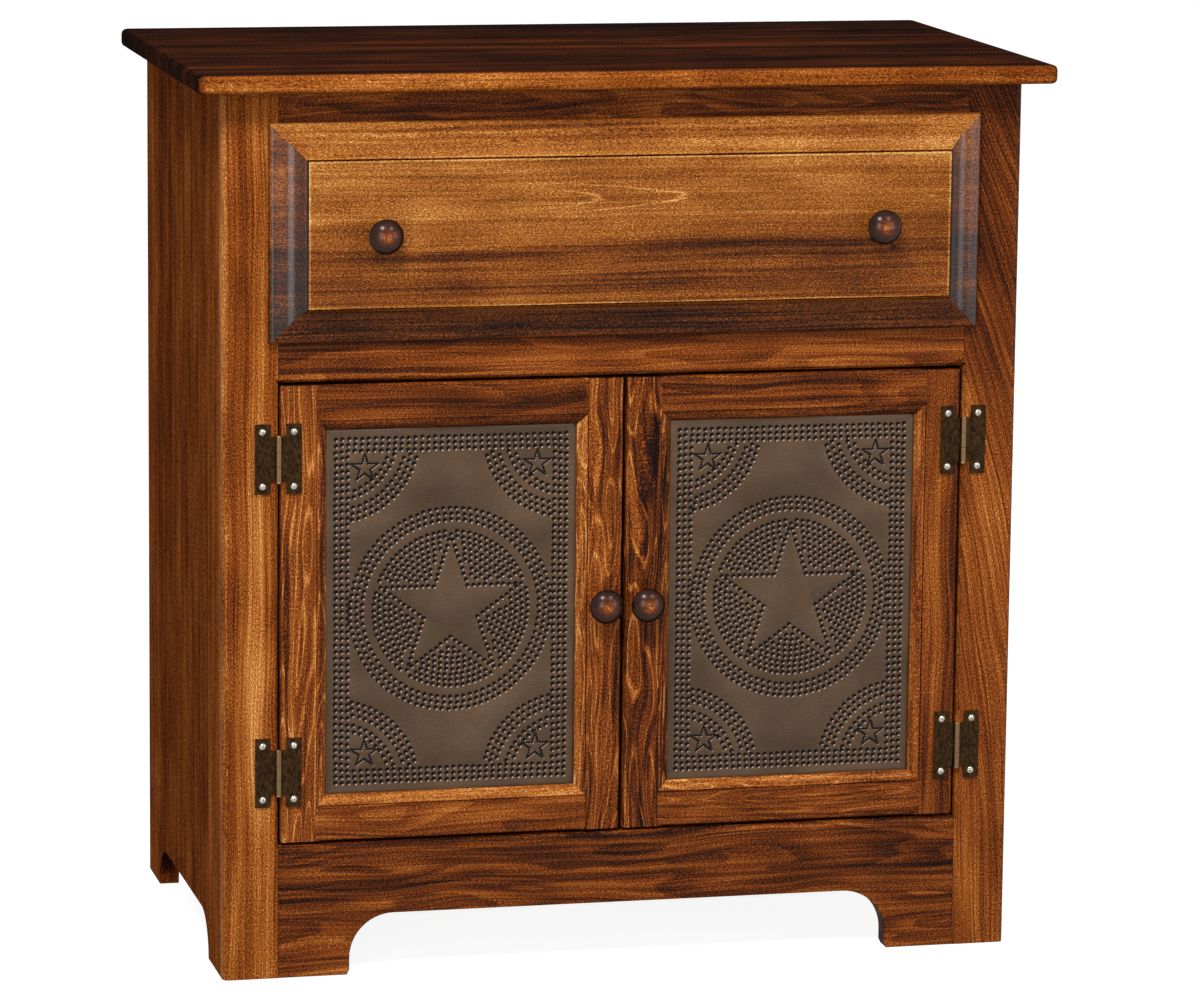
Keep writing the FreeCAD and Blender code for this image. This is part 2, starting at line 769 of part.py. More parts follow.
def shelf_pins():
    """Four pins under the shelf, two in each side."""
    pins = []
    for number, (y, z) in enumerate(pin_places(0), start=1):
        pin = doc.addObject("Part::Cylinder", f"left_pin_{number}")
        bind(pin, Radius="dims.pin_radius", Height="dims.pin_depth + dims.pin_reach")
        across = FreeCAD.Rotation(FreeCAD.Vector(0, 1, 0), 90)
        pin.Placement = FreeCAD.Placement(FreeCAD.Vector(0, 0, 0), across)
        for axis, formula in (("x", "-at.inside_half - dims.pin_depth"), ("y", y), ("z", z)):
            pin.setExpression(f"Placement.Base.{axis}", formula)
        pins += [pin, mirrored(f"right_pin_{number}", pin)]
    return pins


def top_screws():
    """Screws up through each cleat into the top board."""
    length = "dims.wood_screw_length"
    master = screw_master("top_screw", "wood_screw", length)
    x = "-at.inside_half + dims.top_screw_inset"
    z = "at.case_top - dims.cleat_thickness"
    first = "at.frame_back + dims.top_screw_end"
    step = "(at.rear_rail_front - at.frame_back - 2 * dims.top_screw_end) / (dims.top_screw_count - 1)"
    count = int(value("dims.top_screw_count"))
    places = [(x, f"{first} + {number} * {step}", z) for number in range(count)]
    screws, bores = screw_set("left_top_screw", master, "wood_screw", length, "down", places)
    right_bores = [mirrored(f"right_top_bore_{number}", bore) for number, bore in enumerate(bores)]
    piece("top_screws", both_sides("top_screw", screws))
    return bores, right_bores


# ---------------------------------------------------------------------------------------
# Hinges
# ---------------------------------------------------------------------------------------


def hinge_leaf(name, middle, knuckles, sign):
    """One leaf of an H hinge round its axis: the plate, its tongue and its knuckles.
    sign is +1 for the leaf on the door and -1 for the leaf on the stile."""
    half = "dims.leaf_height / 2"
    tongue = "dims.barrel_height / 2"
    skin = ("at.leaf_face", "at.front")

    def span(near, far):
        ends = (f"-at.opening_half + ({near})", f"-at.opening_half + ({far})")
        mirror_ends = (f"-at.opening_half - ({far})", f"-at.opening_half - ({near})")
        return ends if sign > 0 else mirror_ends

    plate_end = "dims.leaf_reach + dims.leaf_width"
    clear = "dims.barrel_radius + dims.leaf_gap"
    plate_height = (f"{middle} - {half}", f"{middle} + {half}")
    tongue_height = (f"{middle} - {tongue}", f"{middle} + {tongue}")
    parts = [
        block(name + "_plate", span("dims.leaf_reach", plate_end), skin, plate_height),
        block(name + "_tongue", span(clear, "dims.leaf_reach"), skin, tongue_height),
    ]
    for knuckle in knuckles:
        low = f"{middle} - {tongue} + {knuckle} * (at.knuckle_height + dims.knuckle_gap)"
        tab = f"{name}_tab_{knuckle}"
        parts.append(block(tab, span("0", clear), skin, (low, f"{low} + at.knuckle_height")))
        barrel = f"{name}_knuckle_{knuckle}"
        axis = ("-at.opening_half", "at.hinge_axis_y", low)
        parts.append(cylinder(barrel, "dims.barrel_radius", "at.knuckle_height", *axis))
    bore = cylinder(
        name + "_pin_bore",
        "dims.hinge_pin_radius + dims.hinge_pin_clearance",
        "dims.barrel_height",
        "-at.opening_half",
        "at.hinge_axis_y",
        f"{middle} - {tongue}",
    )
    return fuse(name + "_plates", parts), bore


def hinge_pin(name, middle):
    """A pin through three knuckles with a small round tip above and below."""
    tongue = "dims.barrel_height / 2"
    axis = ("-at.opening_half", "at.hinge_axis_y")
    tip = "dims.hinge_tip_height"
    low = f"{middle} - {tongue}"
    shank = cylinder(name + "_shank", "dims.hinge_pin_radius", "dims.barrel_height", *axis, low)
    top = cylinder(name + "_top", "dims.hinge_tip_radius", tip, *axis, f"{middle} + {tongue}")
    foot = cylinder(name + "_foot", "dims.hinge_tip_radius", tip, *axis, f"{low} - {tip}")
    return fuse(name, [shank, top, foot])


HINGES = [("upper", "at.upper_hinge_middle"), ("lower", "at.lower_hinge_middle")]


def hinge_screws(owner, sign):
    """Two screws for each leaf on one side of the hinge axis, with their bores."""
    length = "dims.hinge_screw_length"
    x = f"-at.opening_half + {sign} * at.hinge_screw_reach"
    places = []
    for _, middle in HINGES:
        for step in (-1, 1):
            places.append((x, "at.leaf_face", f"{middle} + {step} * dims.hinge_screw_spacing / 2"))
    name = owner + "_hinge_screw"
    return screw_set(name, hinge_screw, "hinge_screw", length, "front", places)


def build_frame_hinges(screws, bores):
    """The leaves on the stiles, the pins and the stile screws of all four hinges."""
    leaves = []
    pins = []
    for name, middle in HINGES:
        plates, pin_bore = hinge_leaf(f"{name}_frame_leaf", middle, (0, 2), -1)
        leaves.append(cut(f"{name}_frame_leaf_bored", plates, [pin_bore] + bores))
        pin = hinge_pin(f"{name}_hinge_pin", middle)
        pins += [pin, mirrored(f"{name}_right_hinge_pin", pin)]
    pair("left_frame_hinge_leaves", group("left_frame_leaf_set", leaves))
    piece("hinge_pins", group("hinge_pin_set", pins))
    piece("frame_hinge_screws", both_sides("frame_screw", screws))


# ---------------------------------------------------------------------------------------
# Knobs
# ---------------------------------------------------------------------------------------


def knob_master():
    """A turned mushroom knob along Z, bored from below for its screw."""
    bore = "dims.wood_screw_radius + dims.screw_clearance"
    flare_end = "dims.knob_neck_height + dims.knob_flare_radius"
    brim = "dims.knob_height - dims.knob_dome_height"
    brim_radius = f"{brim} - ({flare_end})"
    dome = "(dims.knob_radius ^ 2 + dims.knob_dome_height ^ 2) / (2 * dims.knob_dome_height)"
    outline = [
        (bore, "0"),
        ("dims.knob_foot_radius", "0"),
        ("dims.knob_neck_radius", "dims.knob_foot_height"),
        ("dims.knob_neck_radius", "dims.knob_neck_height", "dims.knob_flare_radius", -1),
        (f"dims.knob_radius - ({brim_radius})", flare_end, brim_radius, 1),
        ("dims.knob_radius", brim, dome, 1),
        ("0", "dims.knob_height"),
        ("0", "at.knob_bore_depth"),
        (bore, "at.knob_bore_depth"),
    ]
    return turned("knob_blank", outline)


# ---------------------------------------------------------------------------------------
# Drawer
# ---------------------------------------------------------------------------------------


def raised_section(width):
    """Section through the drawer front: eased rim, flat tongue, cove, step and field."""
    half = [
        ("0", "0"),
        ("0", "dims.rim_thickness - dims.rim_radius", "dims.rim_radius", -1),
        ("dims.rim_radius", "dims.rim_thickness"),
        ("dims.tongue_width", "at.cove_foot", "at.cove_radius", 1),
        ("dims.field_margin", "dims.field_thickness - dims.field_step"),
        ("dims.field_margin", "dims.field_thickness"),
    ]
    far = []
    for index in range(len(half) - 1, -1, -1):
        u, v = half[index][:2]
        bend = half[index - 1][2:] if index > 0 else ()
        far.append((f"{width} - ({u})", v) + bend)
    return reverse_outline(half + far)


def reverse_outline(outline):
    """The same outline drawn the other way round."""
    count = len(outline)
    turned_round = []
    for index in range(count - 1, -1, -1):
        bend = outline[index - 1][2:]
        corner = tuple(outline[index][:2])
        turned_round.append(corner + ((bend[0], -bend[1]) if bend else ()))
    return turned_round


def swapped(outline):
    """An outline with its two axes exchanged, which also mirrors its arcs."""
    return [(corner[1], corner[0]) + mirrored_bend(corner[2:]) for corner in outline]


def mirrored_bend(bend):
    return (bend[0], -bend[1]) if bend else ()


def build_drawer_front(bores):
    """The front is what a long section and an upright section have in common, so the
    moulding meets in mitres at its corners."""
    across = prism(
        "front_across",
        "XY_Plane",
        raised_section("at.drawer_front_width"),
        "at.drawer_front_height",
    )
    top = "at.drawer_front_bottom + at.drawer_front_height"
    place(across, "-at.lip_half", "at.drawer_front_back", top, 180)
    section = raised_section("at.drawer_front_height")
    upright = [(f"-({corner[1]})", corner[0]) + corner[2:] for corner in section]
    along = prism("front_along", "YZ_Plane", upright, "at.drawer_front_width")
    place(along, "-at.lip_half", "at.drawer_front_back", "at.drawer_front_bottom")
    slab = doc.addObject("Part::Common", "front_slab")
    slab.Base = across
    slab.Tool = along
    piece("drawer_front", cut("front_bored", slab, bores))


def drawer_side_board():
    """A box side with its row of tails at each end."""
    near = "dims.box_board"
    far = "at.box_depth - dims.box_board"
    outline = []
    for tail in range(int(value("dims.tail_count"))):
        root = f"{tail} * at.tail_pitch + at.tail_edge"
        outline.append((far, root))
        outline.append(("at.box_depth", f"{root} - dims.tail_flare"))
        outline.append(("at.box_depth", f"{root} + dims.tail_root + dims.tail_flare"))
        outline.append((far, f"{root} + dims.tail_root"))
    rear = [(f"at.box_depth - ({y})", z) for y, z in reversed(outline)]
    corners = [(near, "0"), (far, "0")]
    corners += outline
    corners += [(far, "at.box_height"), (near, "at.box_height")]
    corners += rear
    board = prism("left_box_side", "YZ_Plane", corners, "dims.box_board")
    return place(board, "-at.box_half", "at.drawer_front_back", "at.box_bottom")


def build_drawer():
    """The lipped front on a dovetailed box with a grooved-in bottom."""
    grip = "dims.knob_screw_grip"
    knob_length = f"dims.box_board + dims.field_thickness + {grip}"
    long_screw = screw_master("drawer_knob_screw", "wood_screw", knob_length)
    knob_x = "at.drawer_knob_x"
    level = "at.drawer_middle"
    inside = "at.box_front_inside"
    knob_places = [(f"-{knob_x}", inside, level), (knob_x, inside, level)]
    knob_screws, knob_bores = screw_set(
        "drawer_knob_screw", long_screw, "wood_screw", knob_length, "back", knob_places
    )
    piece("drawer_knob_screws", group("drawer_knob_screw_set", knob_screws))
    for side, sign in (("left", "-"), ("right", "")):
        name = f"drawer_{side}_knob"
        knob = linked(name + "_copy", knob_blank, f"{sign}{knob_x}", "at.field_face", level, 90)
        piece(name, group(name + "_set", [knob]))

    front_length = "dims.front_screw_length"
    short_screw = screw_master("drawer_front_screw", "wood_screw", front_length)
    places = []
    for step_x in (-1, 1):
        for step_z in (-1, 1):
            x = f"{step_x} * at.front_screw_x"
            z = f"{level} + {step_z} * dims.front_screw_spacing / 2"
            places.append((x, inside, z))
    front_screws, front_bores = screw_set(
        "drawer_front_screw", short_screw, "wood_screw", front_length, "back", places
    )
    piece("drawer_front_screws", group("drawer_front_screw_set", front_screws))
    build_drawer_front(knob_bores + front_bores)
    build_drawer_box(knob_bores + front_bores)


def build_drawer_box(front_bores):
    reach = "at.box_inside_half + dims.drawer_groove_depth"
    low = "at.box_bottom + dims.drawer_bottom_rise"
    high = f"{low} + dims.drawer_bottom_thickness"

    def bottom_block(name, slack):
        """The drawer bottom's space, grown all round by slack for its grooves."""
        near = f"at.box_front_inside - dims.drawer_groove_depth - ({slack})"
        far = f"at.box_back_inside + dims.drawer_groove_depth + ({slack})"
        across = (f"-({reach}) - ({slack})", f"{reach} + ({slack})")
        return block(name, across, (near, far), (f"{low} - ({slack})", f"{high} + ({slack})"))

    groove = bottom_block("drawer_groove", "dims.joint_clearance")
    piece("drawer_bottom", bottom_block("drawer_bottom_board", "0"))

    left_board = drawer_side_board()
    right_board = mirrored("right_box_side", left_board)
    pair("drawer_left_side", cut("left_box_side_grooved", left_board, [groove]))
    across = ("-at.box_half", "at.box_half")
    upright = ("at.box_bottom", "at.box_top")
    front_depth = ("at.drawer_front_back", "at.box_front_inside")
    front = block("box_front_blank", across, front_depth, upright)
    rear = block("box_back_blank", across, ("at.box_back_inside", "at.box_back"), upright)
    tails = [left_board, right_board, groove]
    piece("drawer_box_front", cut("box_front", front, tails + front_bores))

    button_top = "at.drawer_opening_top + dims.stop_button_rise"
    button = block(
        "stop_button_blank",
        ("-dims.stop_button_width / 2", "dims.stop_button_width / 2"),
        ("at.box_back_inside - dims.stop_button_thickness", "at.box_back_inside"),
        (f"{button_top} - dims.stop_button_length", button_top),
    )
    button_front = "at.box_back_inside - dims.stop_button_thickness"
    length = "dims.button_screw_length"
    master = screw_master("button_screw", "wood_screw", length)
    level = "at.box_top - dims.stop_screw_drop"
    screws, bores = screw_set(
        "button_screw", master, "wood_screw", length, "front", [("0", button_front, level)]
    )
    piece("drawer_stop_button", cut("stop_button", button, bores))
    piece("drawer_stop_screw", group("button_screw_set", screws))
    piece("drawer_box_back", cut("box_back", rear, tails + bores))


# ---------------------------------------------------------------------------------------
# Doors
# ---------------------------------------------------------------------------------------


def member_section():
    """Section of a door member, from its outer edge in: eased edge, moulded inner edge
    with a small quirk, and the rabbet behind for the panel."""
    flat = "dims.door_member_width - dims.sticking_width"
    return [
        ("0", "dims.door_edge_radius", "dims.door_edge_radius", 1),
        ("dims.door_edge_radius", "0"),
        (flat, "0"),
        (flat, "dims.sticking_quirk", "dims.sticking_radius", 1),
        ("dims.door_member_width", "dims.sticking_depth"),
        ("dims.door_member_width", "dims.panel_seat_depth"),
        ("at.rabbet_wall", "dims.panel_seat_depth"),
        ("at.rabbet_wall", "dims.door_thickness"),
        ("0", "dims.door_thickness"),
    ]


def door_tenon(name, end, level, slack):
    """One tenon of the left door, at its hinge or meeting end and its low or high rail,
    grown by slack for the mortise."""
    if end == "hinge":
        shoulder = "-at.door_outer + at.rabbet_wall"
        x = (f"{shoulder} - dims.door_tenon_length - ({slack})", shoulder)
    else:
        shoulder = "-at.door_inner - at.rabbet_wall"
        x = (shoulder, f"{shoulder} + dims.door_tenon_length + ({slack})")
    near = f"dims.door_tenon_shoulder - ({slack})"
    far = f"at.rabbet_wall + ({slack})"
    if level == "low":
        z = (f"at.door_bottom + {near}", f"at.door_bottom + {far}")
    else:
        z = (f"at.door_top - ({far})", f"at.door_top - ({near})")
    back = "at.tenon_front + dims.door_tenon_thickness"
    return block(name, x, (f"at.tenon_front - ({slack})", f"{back} + ({slack})"), z)


def build_door_frame(stile_bores, knob_bores):
    section = member_section()
    stiles = {}
    for end in ("hinge", "meeting"):
        blank = prism(f"{end}_stile_blank", "XY_Plane", section, "at.door_height")
        if end == "hinge":
            stile = place(blank, "-at.door_outer", "at.front", "at.door_bottom")
            bores = stile_bores
        else:
            twin = mirrored("meeting_stile_turned", blank)
            place(blank, "0", "at.front", "at.door_bottom")
            stile = doc.addObject("App::Link", "meeting_stile_link")
            stile.LinkedObject = twin
            place(stile, "-at.door_inner", "0", "0")
            bores = knob_bores
        mortises = [
            door_tenon(f"{end}_{level}_mortise", end, level, "dims.joint_clearance")
            for level in ("low", "high")
        ]
        stiles[end] = cut(f"{end}_stile", stile, mortises + bores)
    pair("left_door_hinge_stile", stiles["hinge"])
    pair("left_door_meeting_stile", stiles["meeting"])

    length = "at.rail_outer - at.rail_inner"
    low_section = swapped(section)
    high_section = [
        (y, f"at.door_height - ({z})") + mirrored_bend(bend) for y, z, *bend in low_section
    ]
    for level, label, outline in (
        ("low", "left_door_bottom_rail", low_section),
        ("high", "left_door_top_rail", high_section),
    ):
        blank = prism(f"{level}_rail_blank", "YZ_Plane", outline, length)
        place(blank, "-at.rail_outer", "at.front", "at.door_bottom")
        ends = ("hinge", "meeting")
        tenons = [door_tenon(f"{end}_{level}_tenon", end, level, "0") for end in ends]
        coped = cut(f"{level}_rail_coped", blank, [stiles["hinge"], stiles["meeting"]])
        pair(label, fuse(f"{level}_rail", [coped] + tenons))


def build_door_panel():
    """The tin panel in its rabbet, and the four strips that hold it from behind."""
    inset = "at.tin_inset"
    tin = block(
        "tin_sheet",
        (f"-at.door_outer + {inset}", f"-at.door_inner - {inset}"),
        ("at.tin_front", "at.tin_back"),
        (f"at.door_bottom + {inset}", f"at.door_top - {inset}"),
    )
    pair("left_door_tin_panel", tin)
    wall = "at.rabbet_wall + dims.joint_clearance"
    inner = f"{wall} + dims.retainer_width"
    depth = ("at.tin_back", "at.retainer_back")
    upright = (f"at.door_bottom + {wall}", f"at.door_top - ({wall})")
    across = (f"-at.door_outer + {inner}", f"-at.door_inner - ({inner})")
    hinge_side = (f"-at.door_outer + {wall}", f"-at.door_outer + {inner}")
    meeting_side = (f"-at.door_inner - ({inner})", f"-at.door_inner - ({wall})")
    low_level = (f"at.door_bottom + {wall}", f"at.door_bottom + {inner}")
    high_level = (f"at.door_top - ({inner})", f"at.door_top - ({wall})")
    strips = [
        block("hinge_strip", hinge_side, depth, upright),
        block("meeting_strip", meeting_side, depth, upright),
        block("low_strip", across, depth, low_level),
        block("high_strip", across, depth, high_level),
    ]
    pair("left_door_panel_strips", group("left_panel_strip_set", strips))


def build_door_knob():
    """Knob and its screw through the meeting stile, with the bore that the screw needs."""
    x = "-at.door_inner - dims.door_knob_inset"
    z = "at.door_bottom + at.door_height / 2 + dims.door_knob_lift"
    knob = linked("left_door_knob_copy", knob_blank, x, "at.front", z, 90)
    pair("left_door_knob", group("left_door_knob_set", [knob]))
    length = "dims.door_thickness + dims.knob_screw_grip"
    master = screw_master("door_knob_screw", "wood_screw", length)
    places = [(x, "at.door_back", z)]
    screws, bores = screw_set("door_knob_screw", master, "wood_screw", length, "back", places)
    pair("left_door_knob_screw", group("door_knob_screw_set", screws))
    return bores


def build_door_leaves(screws, bores):
    leaves = []
    for name, middle in HINGES:
        plates, pin_bore = hinge_leaf(f"{name}_door_leaf", middle, (1,), 1)
        leaves.append(cut(f"{name}_door_leaf_bored", plates, [pin_bore] + bores))
    pair("left_door_hinge_leaves", group("left_door_leaf_set", leaves))
    pair("left_door_hinge_screws", group("left_door_screw_set", screws))


def build_catches():
    """A steel strike on each door's back and the magnet that it meets behind the rail."""
    outer = "-at.door_inner - dims.strike_inset - dims.strike_width"
    strike = block(
        "left_strike",
        (outer, "-at.door_inner - dims.strike_inset"),
        ("at.door_back", "at.door_back + dims.strike_thickness"),
        ("at.strike_top - dims.strike_height", "at.strike_top"),
    )
    pair("left_door_strike_plate", strike)
    face = "at.door_back - at.frame_back + dims.strike_thickness + dims.catch_gap"
    base = "at.strike_top - dims.strike_height"
    rail = f"at.door_opening_top - ({base})"
    body_top = f"{rail} + dims.catch_flange_thickness"
    flange_top = f"{rail} + dims.catch_flange"
    outline = [
        (face, "0"),
        (f"{face} + dims.catch_thickness", "0"),
        (f"{face} + dims.catch_thickness", body_top),
        ("dims.catch_flange_thickness", body_top),
        ("dims.catch_flange_thickness", flange_top),
        ("0", flange_top),
        ("0", rail),
        (face, rail),
    ]
    catch = prism("left_catch", "YZ_Plane", outline, "dims.strike_width")
    place(catch, outer, "at.frame_back", base)
    piece("door_catches", group("door_catch_set", [catch, mirrored("right_catch", catch)]))


def build_door():
    """Everything on the left door, each piece with its right-hand twin."""
    screws, bores = hinge_screws("left_door", 1)
    knob_bores = build_door_knob()
    build_door_frame(bores, knob_bores)
    build_door_panel()
    build_door_leaves(screws, bores)
    build_catches()


# ---------------------------------------------------------------------------------------
# Assembly
# ---------------------------------------------------------------------------------------

knob_blank = knob_master()
hinge_screw = screw_master("hinge_screw", "hinge_screw", "dims.hinge_screw_length")

left_cleat_bores, right_cleat_bores = top_screws()
build_top(left_cleat_bores + right_cleat_bores)
build_sides()
frame_screws, frame_bores = hinge_screws("left_frame", -1)
build_face_frame(frame_bores)
build_case_inside(left_cleat_bores)
build_frame_hinges(frame_screws, frame_bores)
build_drawer()
build_door()
doc.recompute()

# ---------------------------------------------------------------------------------------
# Checks and export
# ---------------------------------------------------------------------------------------

failed = [obj.Name for obj in doc.Objects if {"Invalid", "Error"} & set(obj.State)]
for obj in pieces:
    if obj.Shape.isNull() or not obj.Shape.isValid() or not obj.Shape.Solids:
        failed.append(obj.Label)
if failed:
    sys.exit("failed: " + ", ".join(failed))

os.makedirs("parts", exist_ok=True)
whole = FreeCAD.BoundBox()
for obj in pieces:
    obj.Shape.exportStep(f"parts/{obj.Label}.step")
    whole.add(obj.Shape.BoundBox)
    print(f"{obj.Label}: {len(obj.Shape.Solids)} solid(s), {obj.Shape.Volume / 1000:.1f} cm3")
print(len(pieces), "pieces", whole)
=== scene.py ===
import math
import random

import bpy
from mathutils import Matrix, Vector
from mathutils.geometry import delaunay_2d_cdt


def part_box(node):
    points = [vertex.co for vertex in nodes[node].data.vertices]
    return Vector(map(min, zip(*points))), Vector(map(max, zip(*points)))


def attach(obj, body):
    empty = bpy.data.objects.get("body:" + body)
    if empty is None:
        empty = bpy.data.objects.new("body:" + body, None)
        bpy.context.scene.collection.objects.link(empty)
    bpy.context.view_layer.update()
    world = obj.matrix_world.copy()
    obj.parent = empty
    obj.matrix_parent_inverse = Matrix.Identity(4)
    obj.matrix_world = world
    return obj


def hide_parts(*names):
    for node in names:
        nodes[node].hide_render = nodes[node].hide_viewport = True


# Looks of the pie safe: finishes, eased edges, punched tin, studio and camera.
# Lengths are metres in the CAD frame, apart from those of the finishes, which are
# millimetres, because grain and wear are that small: names in _MM and the finishes' tables.

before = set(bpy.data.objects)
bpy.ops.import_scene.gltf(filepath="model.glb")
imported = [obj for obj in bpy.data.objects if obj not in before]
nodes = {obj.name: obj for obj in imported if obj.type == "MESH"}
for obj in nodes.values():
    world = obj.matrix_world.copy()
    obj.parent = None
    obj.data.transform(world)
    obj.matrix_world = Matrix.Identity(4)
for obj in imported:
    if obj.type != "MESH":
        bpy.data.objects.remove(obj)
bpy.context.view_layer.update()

MM = 0.001

# ---------------------------------------------------------------------------------------
# Node helpers
# ---------------------------------------------------------------------------------------


def colour(red, green, blue):
    """Linear RGBA from a colour as it looks on a screen, each channel 0 to 255."""
    channels = [c / 255 for c in (red, green, blue)]
    linear = [c / 12.92 if c <= 0.04045 else ((c + 0.055) / 1.055) ** 2.4 for c in channels]
    return (*linear, 1.0)


class Finish:
    """One material, whose node tree is written as nested calls."""

    def __init__(self, name):
        self.material = bpy.data.materials.new(name)
        self.material.use_nodes = True
        self.tree = self.material.node_tree
        self.tree.nodes.clear()
        self.output = self.add("ShaderNodeOutputMaterial")

    def add(self, kind, **settings):
        node = self.tree.nodes.new(kind)
        for key, setting in settings.items():
            setattr(node, key, setting)
        return node

    def feed(self, socket, source):
        """Link a socket to another node's output, or set it to a plain value."""
        if isinstance(source, bpy.types.NodeSocket):
            self.tree.links.new(source, socket)
        else:
            socket.default_value = source

    def place(self):
        """Where a point lies on the piece, in millimetres of the CAD frame."""
        coordinates = self.add("ShaderNodeTexCoord").outputs["Object"]
        scale = self.add("ShaderNodeVectorMath", operation="SCALE")
        self.feed(scale.inputs[0], coordinates)
        scale.inputs["Scale"].default_value = 1 / MM
        split = self.add("ShaderNodeSeparateXYZ")
        self.feed(split.inputs[0], scale.outputs[0])
        return split.outputs["X"], split.outputs["Y"], split.outputs["Z"]

    def vector(self, x, y, z):
        joined = self.add("ShaderNodeCombineXYZ")
        for socket, source in zip(joined.inputs, (x, y, z)):
            self.feed(socket, source)
        return joined.outputs[0]

    def math(self, operation, first, second=0.0, clamp=False):
        node = self.add("ShaderNodeMath", operation=operation, use_clamp=clamp)
        self.feed(node.inputs[0], first)
        self.feed(node.inputs[1], second)
        return node.outputs[0]

    def total(self, *terms):
        result = terms[0]
        for term in terms[1:]:
            result = self.math("ADD", result, term)
        return result

    def times(self, first, second):
        return self.math("MULTIPLY", first, second)

    def normal(self):
        """Which way the surface faces on the piece."""
        split = self.add("ShaderNodeSeparateXYZ")
        self.feed(split.inputs[0], self.add("ShaderNodeTexCoord").outputs["Normal"])
        return split.outputs["X"], split.outputs["Y"], split.outputs["Z"]

    def scaled(self, *parts):
        """A vector of sources, each divided by the size of the features that it gives."""
        return self.vector(*(self.math("DIVIDE", source, size) for source, size in parts))

    def noise(self, vector, detail=2.0, roughness=0.5):
        """Soft noise from 0 to 1 whose features are about one unit of the vector across."""
        node = self.add("ShaderNodeTexNoise")
        self.feed(node.inputs["Vector"], vector)
        node.inputs["Scale"].default_value = 1.0
        node.inputs["Detail"].default_value = detail
        node.inputs["Roughness"].default_value = roughness
        return node.outputs["Fac"]

    def step(self, source, low, high, to_low=0.0, to_high=1.0):
        """A smooth step of the source from low to high."""
        node = self.add("ShaderNodeMapRange", interpolation_type="SMOOTHSTEP")
        for name, number in zip(
            ("From Min", "From Max", "To Min", "To Max"), (low, high, to_low, to_high)
        ):
            node.inputs[name].default_value = number
        self.feed(node.inputs["Value"], source)
        return node.outputs["Result"]

    def ramp(self, factor, stops, ease="LINEAR"):
        node = self.add("ShaderNodeValToRGB")
        node.color_ramp.interpolation = ease
        elements = node.color_ramp.elements
        while len(elements) < len(stops):
            elements.new(0.5)
        for element, (position, shade) in zip(elements, stops):
            element.position = position
            element.color = shade
        self.feed(node.inputs["Fac"], factor)
        return node.outputs["Color"]

    def profile(self, source, stops, ease="EASE"):
        """A number that follows (place, number) stops along the source."""
        if len(stops) == 1:
            return stops[0][1]
        first, last = stops[0][0], stops[-1][0]
        share = self.math("DIVIDE", self.math("SUBTRACT", source, first), last - first, clamp=True)
        greys = [((place - first) / (last - first), (n, n, n, 1.0)) for place, n in stops]
        return self.ramp(share, greys, ease)

    def shade(self, tone, palette):
        """A colour of a palette, whose stops are (tone, colour as it looks on a screen)."""
        return self.ramp(tone, [(place, colour(*look)) for place, look in palette])

    def mix(self, factor, first, second):
        node = self.add("ShaderNodeMix", data_type="RGBA")
        self.feed(node.inputs["Factor"], factor)
        self.feed(node.inputs["A"], first)
        self.feed(node.inputs["B"], second)
        return node.outputs["Result"]

    def bump(self, height, distance):
        """A bump whose height runs from 0 to 1 over a real distance, in metres."""
        node = self.add("ShaderNodeBump")
        node.inputs["Strength"].default_value = 1.0
        node.inputs["Distance"].default_value = distance
        self.feed(node.inputs["Height"], height)
        return node.outputs["Normal"]

    def surface(self, **sockets):
        shader = self.add("ShaderNodeBsdfPrincipled")
        for name, source in sockets.items():
            self.feed(shader.inputs[name.replace("_", " ")], source)
        self.feed(self.output.inputs["Surface"], shader.outputs[0])
        return self.material


# ---------------------------------------------------------------------------------------
# Wood
# ---------------------------------------------------------------------------------------

# The stain on maple, from its darkest streaks to its lightest figure.
STAIN = [
    (0.00, (12, 5, 3)),
    (0.18, (42, 18, 7)),
    (0.36, (84, 37, 12)),
    (0.52, (123, 59, 18)),
    (0.68, (156, 86, 31)),
    (0.84, (188, 120, 55)),
    (1.00, (222, 166, 100)),
]
# The drawer front took the same stain more golden.
GOLDEN = [(tone, (red, 1.07 * green, 1.1 * blue)) for tone, (red, green, blue) in STAIN]
RAW = [
    (0.00, (84, 54, 28)),
    (0.35, (158, 116, 70)),
    (0.65, (198, 158, 106)),
    (1.00, (230, 202, 158)),
]
# For each way that grain runs: the axes along, across and through it.
GRAIN_AXES = {
    "x": "xzy",
    "z": "zxy",
    "side": "zyx",
    "top": "xyz",
    "deep": "yxz",
    "deep_side": "yzx",
}
# How far apart boards of different seeds, and boards glued side by side, lie in the noises.
SEED_SHIFT_MM = 1000.0
BOARD_SHIFT_MM = 5000.0
# Slanting grain curves, and reaches its whole slant this far along the board.
LEAN_LENGTH_MM = 800.0
# Noises along the grain: length and width of their features in millimetres, detail,
# roughness, and a shift across the grain that keeps them from lining up.
NOISES = {
    "sway": (230.0, 70.0, 2.0, 0.5, 0.0),
    "streaks": (420.0, 13.0, 2.0, 0.5, 0.0),
    "fibres": (260.0, 2.6, 2.0, 0.5, 23.0),
    "pores": (70.0, 1.0, 1.0, 0.5, 37.0),
    "speckle": (1.9, 0.9, 1.0, 0.5, 5.0),
    "clouds": (90.0, 40.0, 1.0, 0.5, 61.0),
    "mineral": (380.0, 6.0, 4.0, 0.6, 91.0),
    "veins": (240.0, 2.0, 3.0, 0.6, 83.0),
    "figure": (190.0, 30.0, 2.0, 0.3, 53.0),
    "flame": (150.0, 15.0, 1.0, 0.3, 43.0),
    "curl": (60.0, 5.0, 3.0, 0.6, 17.0),
    "ragged": (40.0, 7.0, 3.0, 0.6, 71.0),
    "grit": (5.0, 0.7, 2.0, 0.5, 11.0),
}
# About how far a noise strays from its middle.
NOISE_SPREAD = 0.09
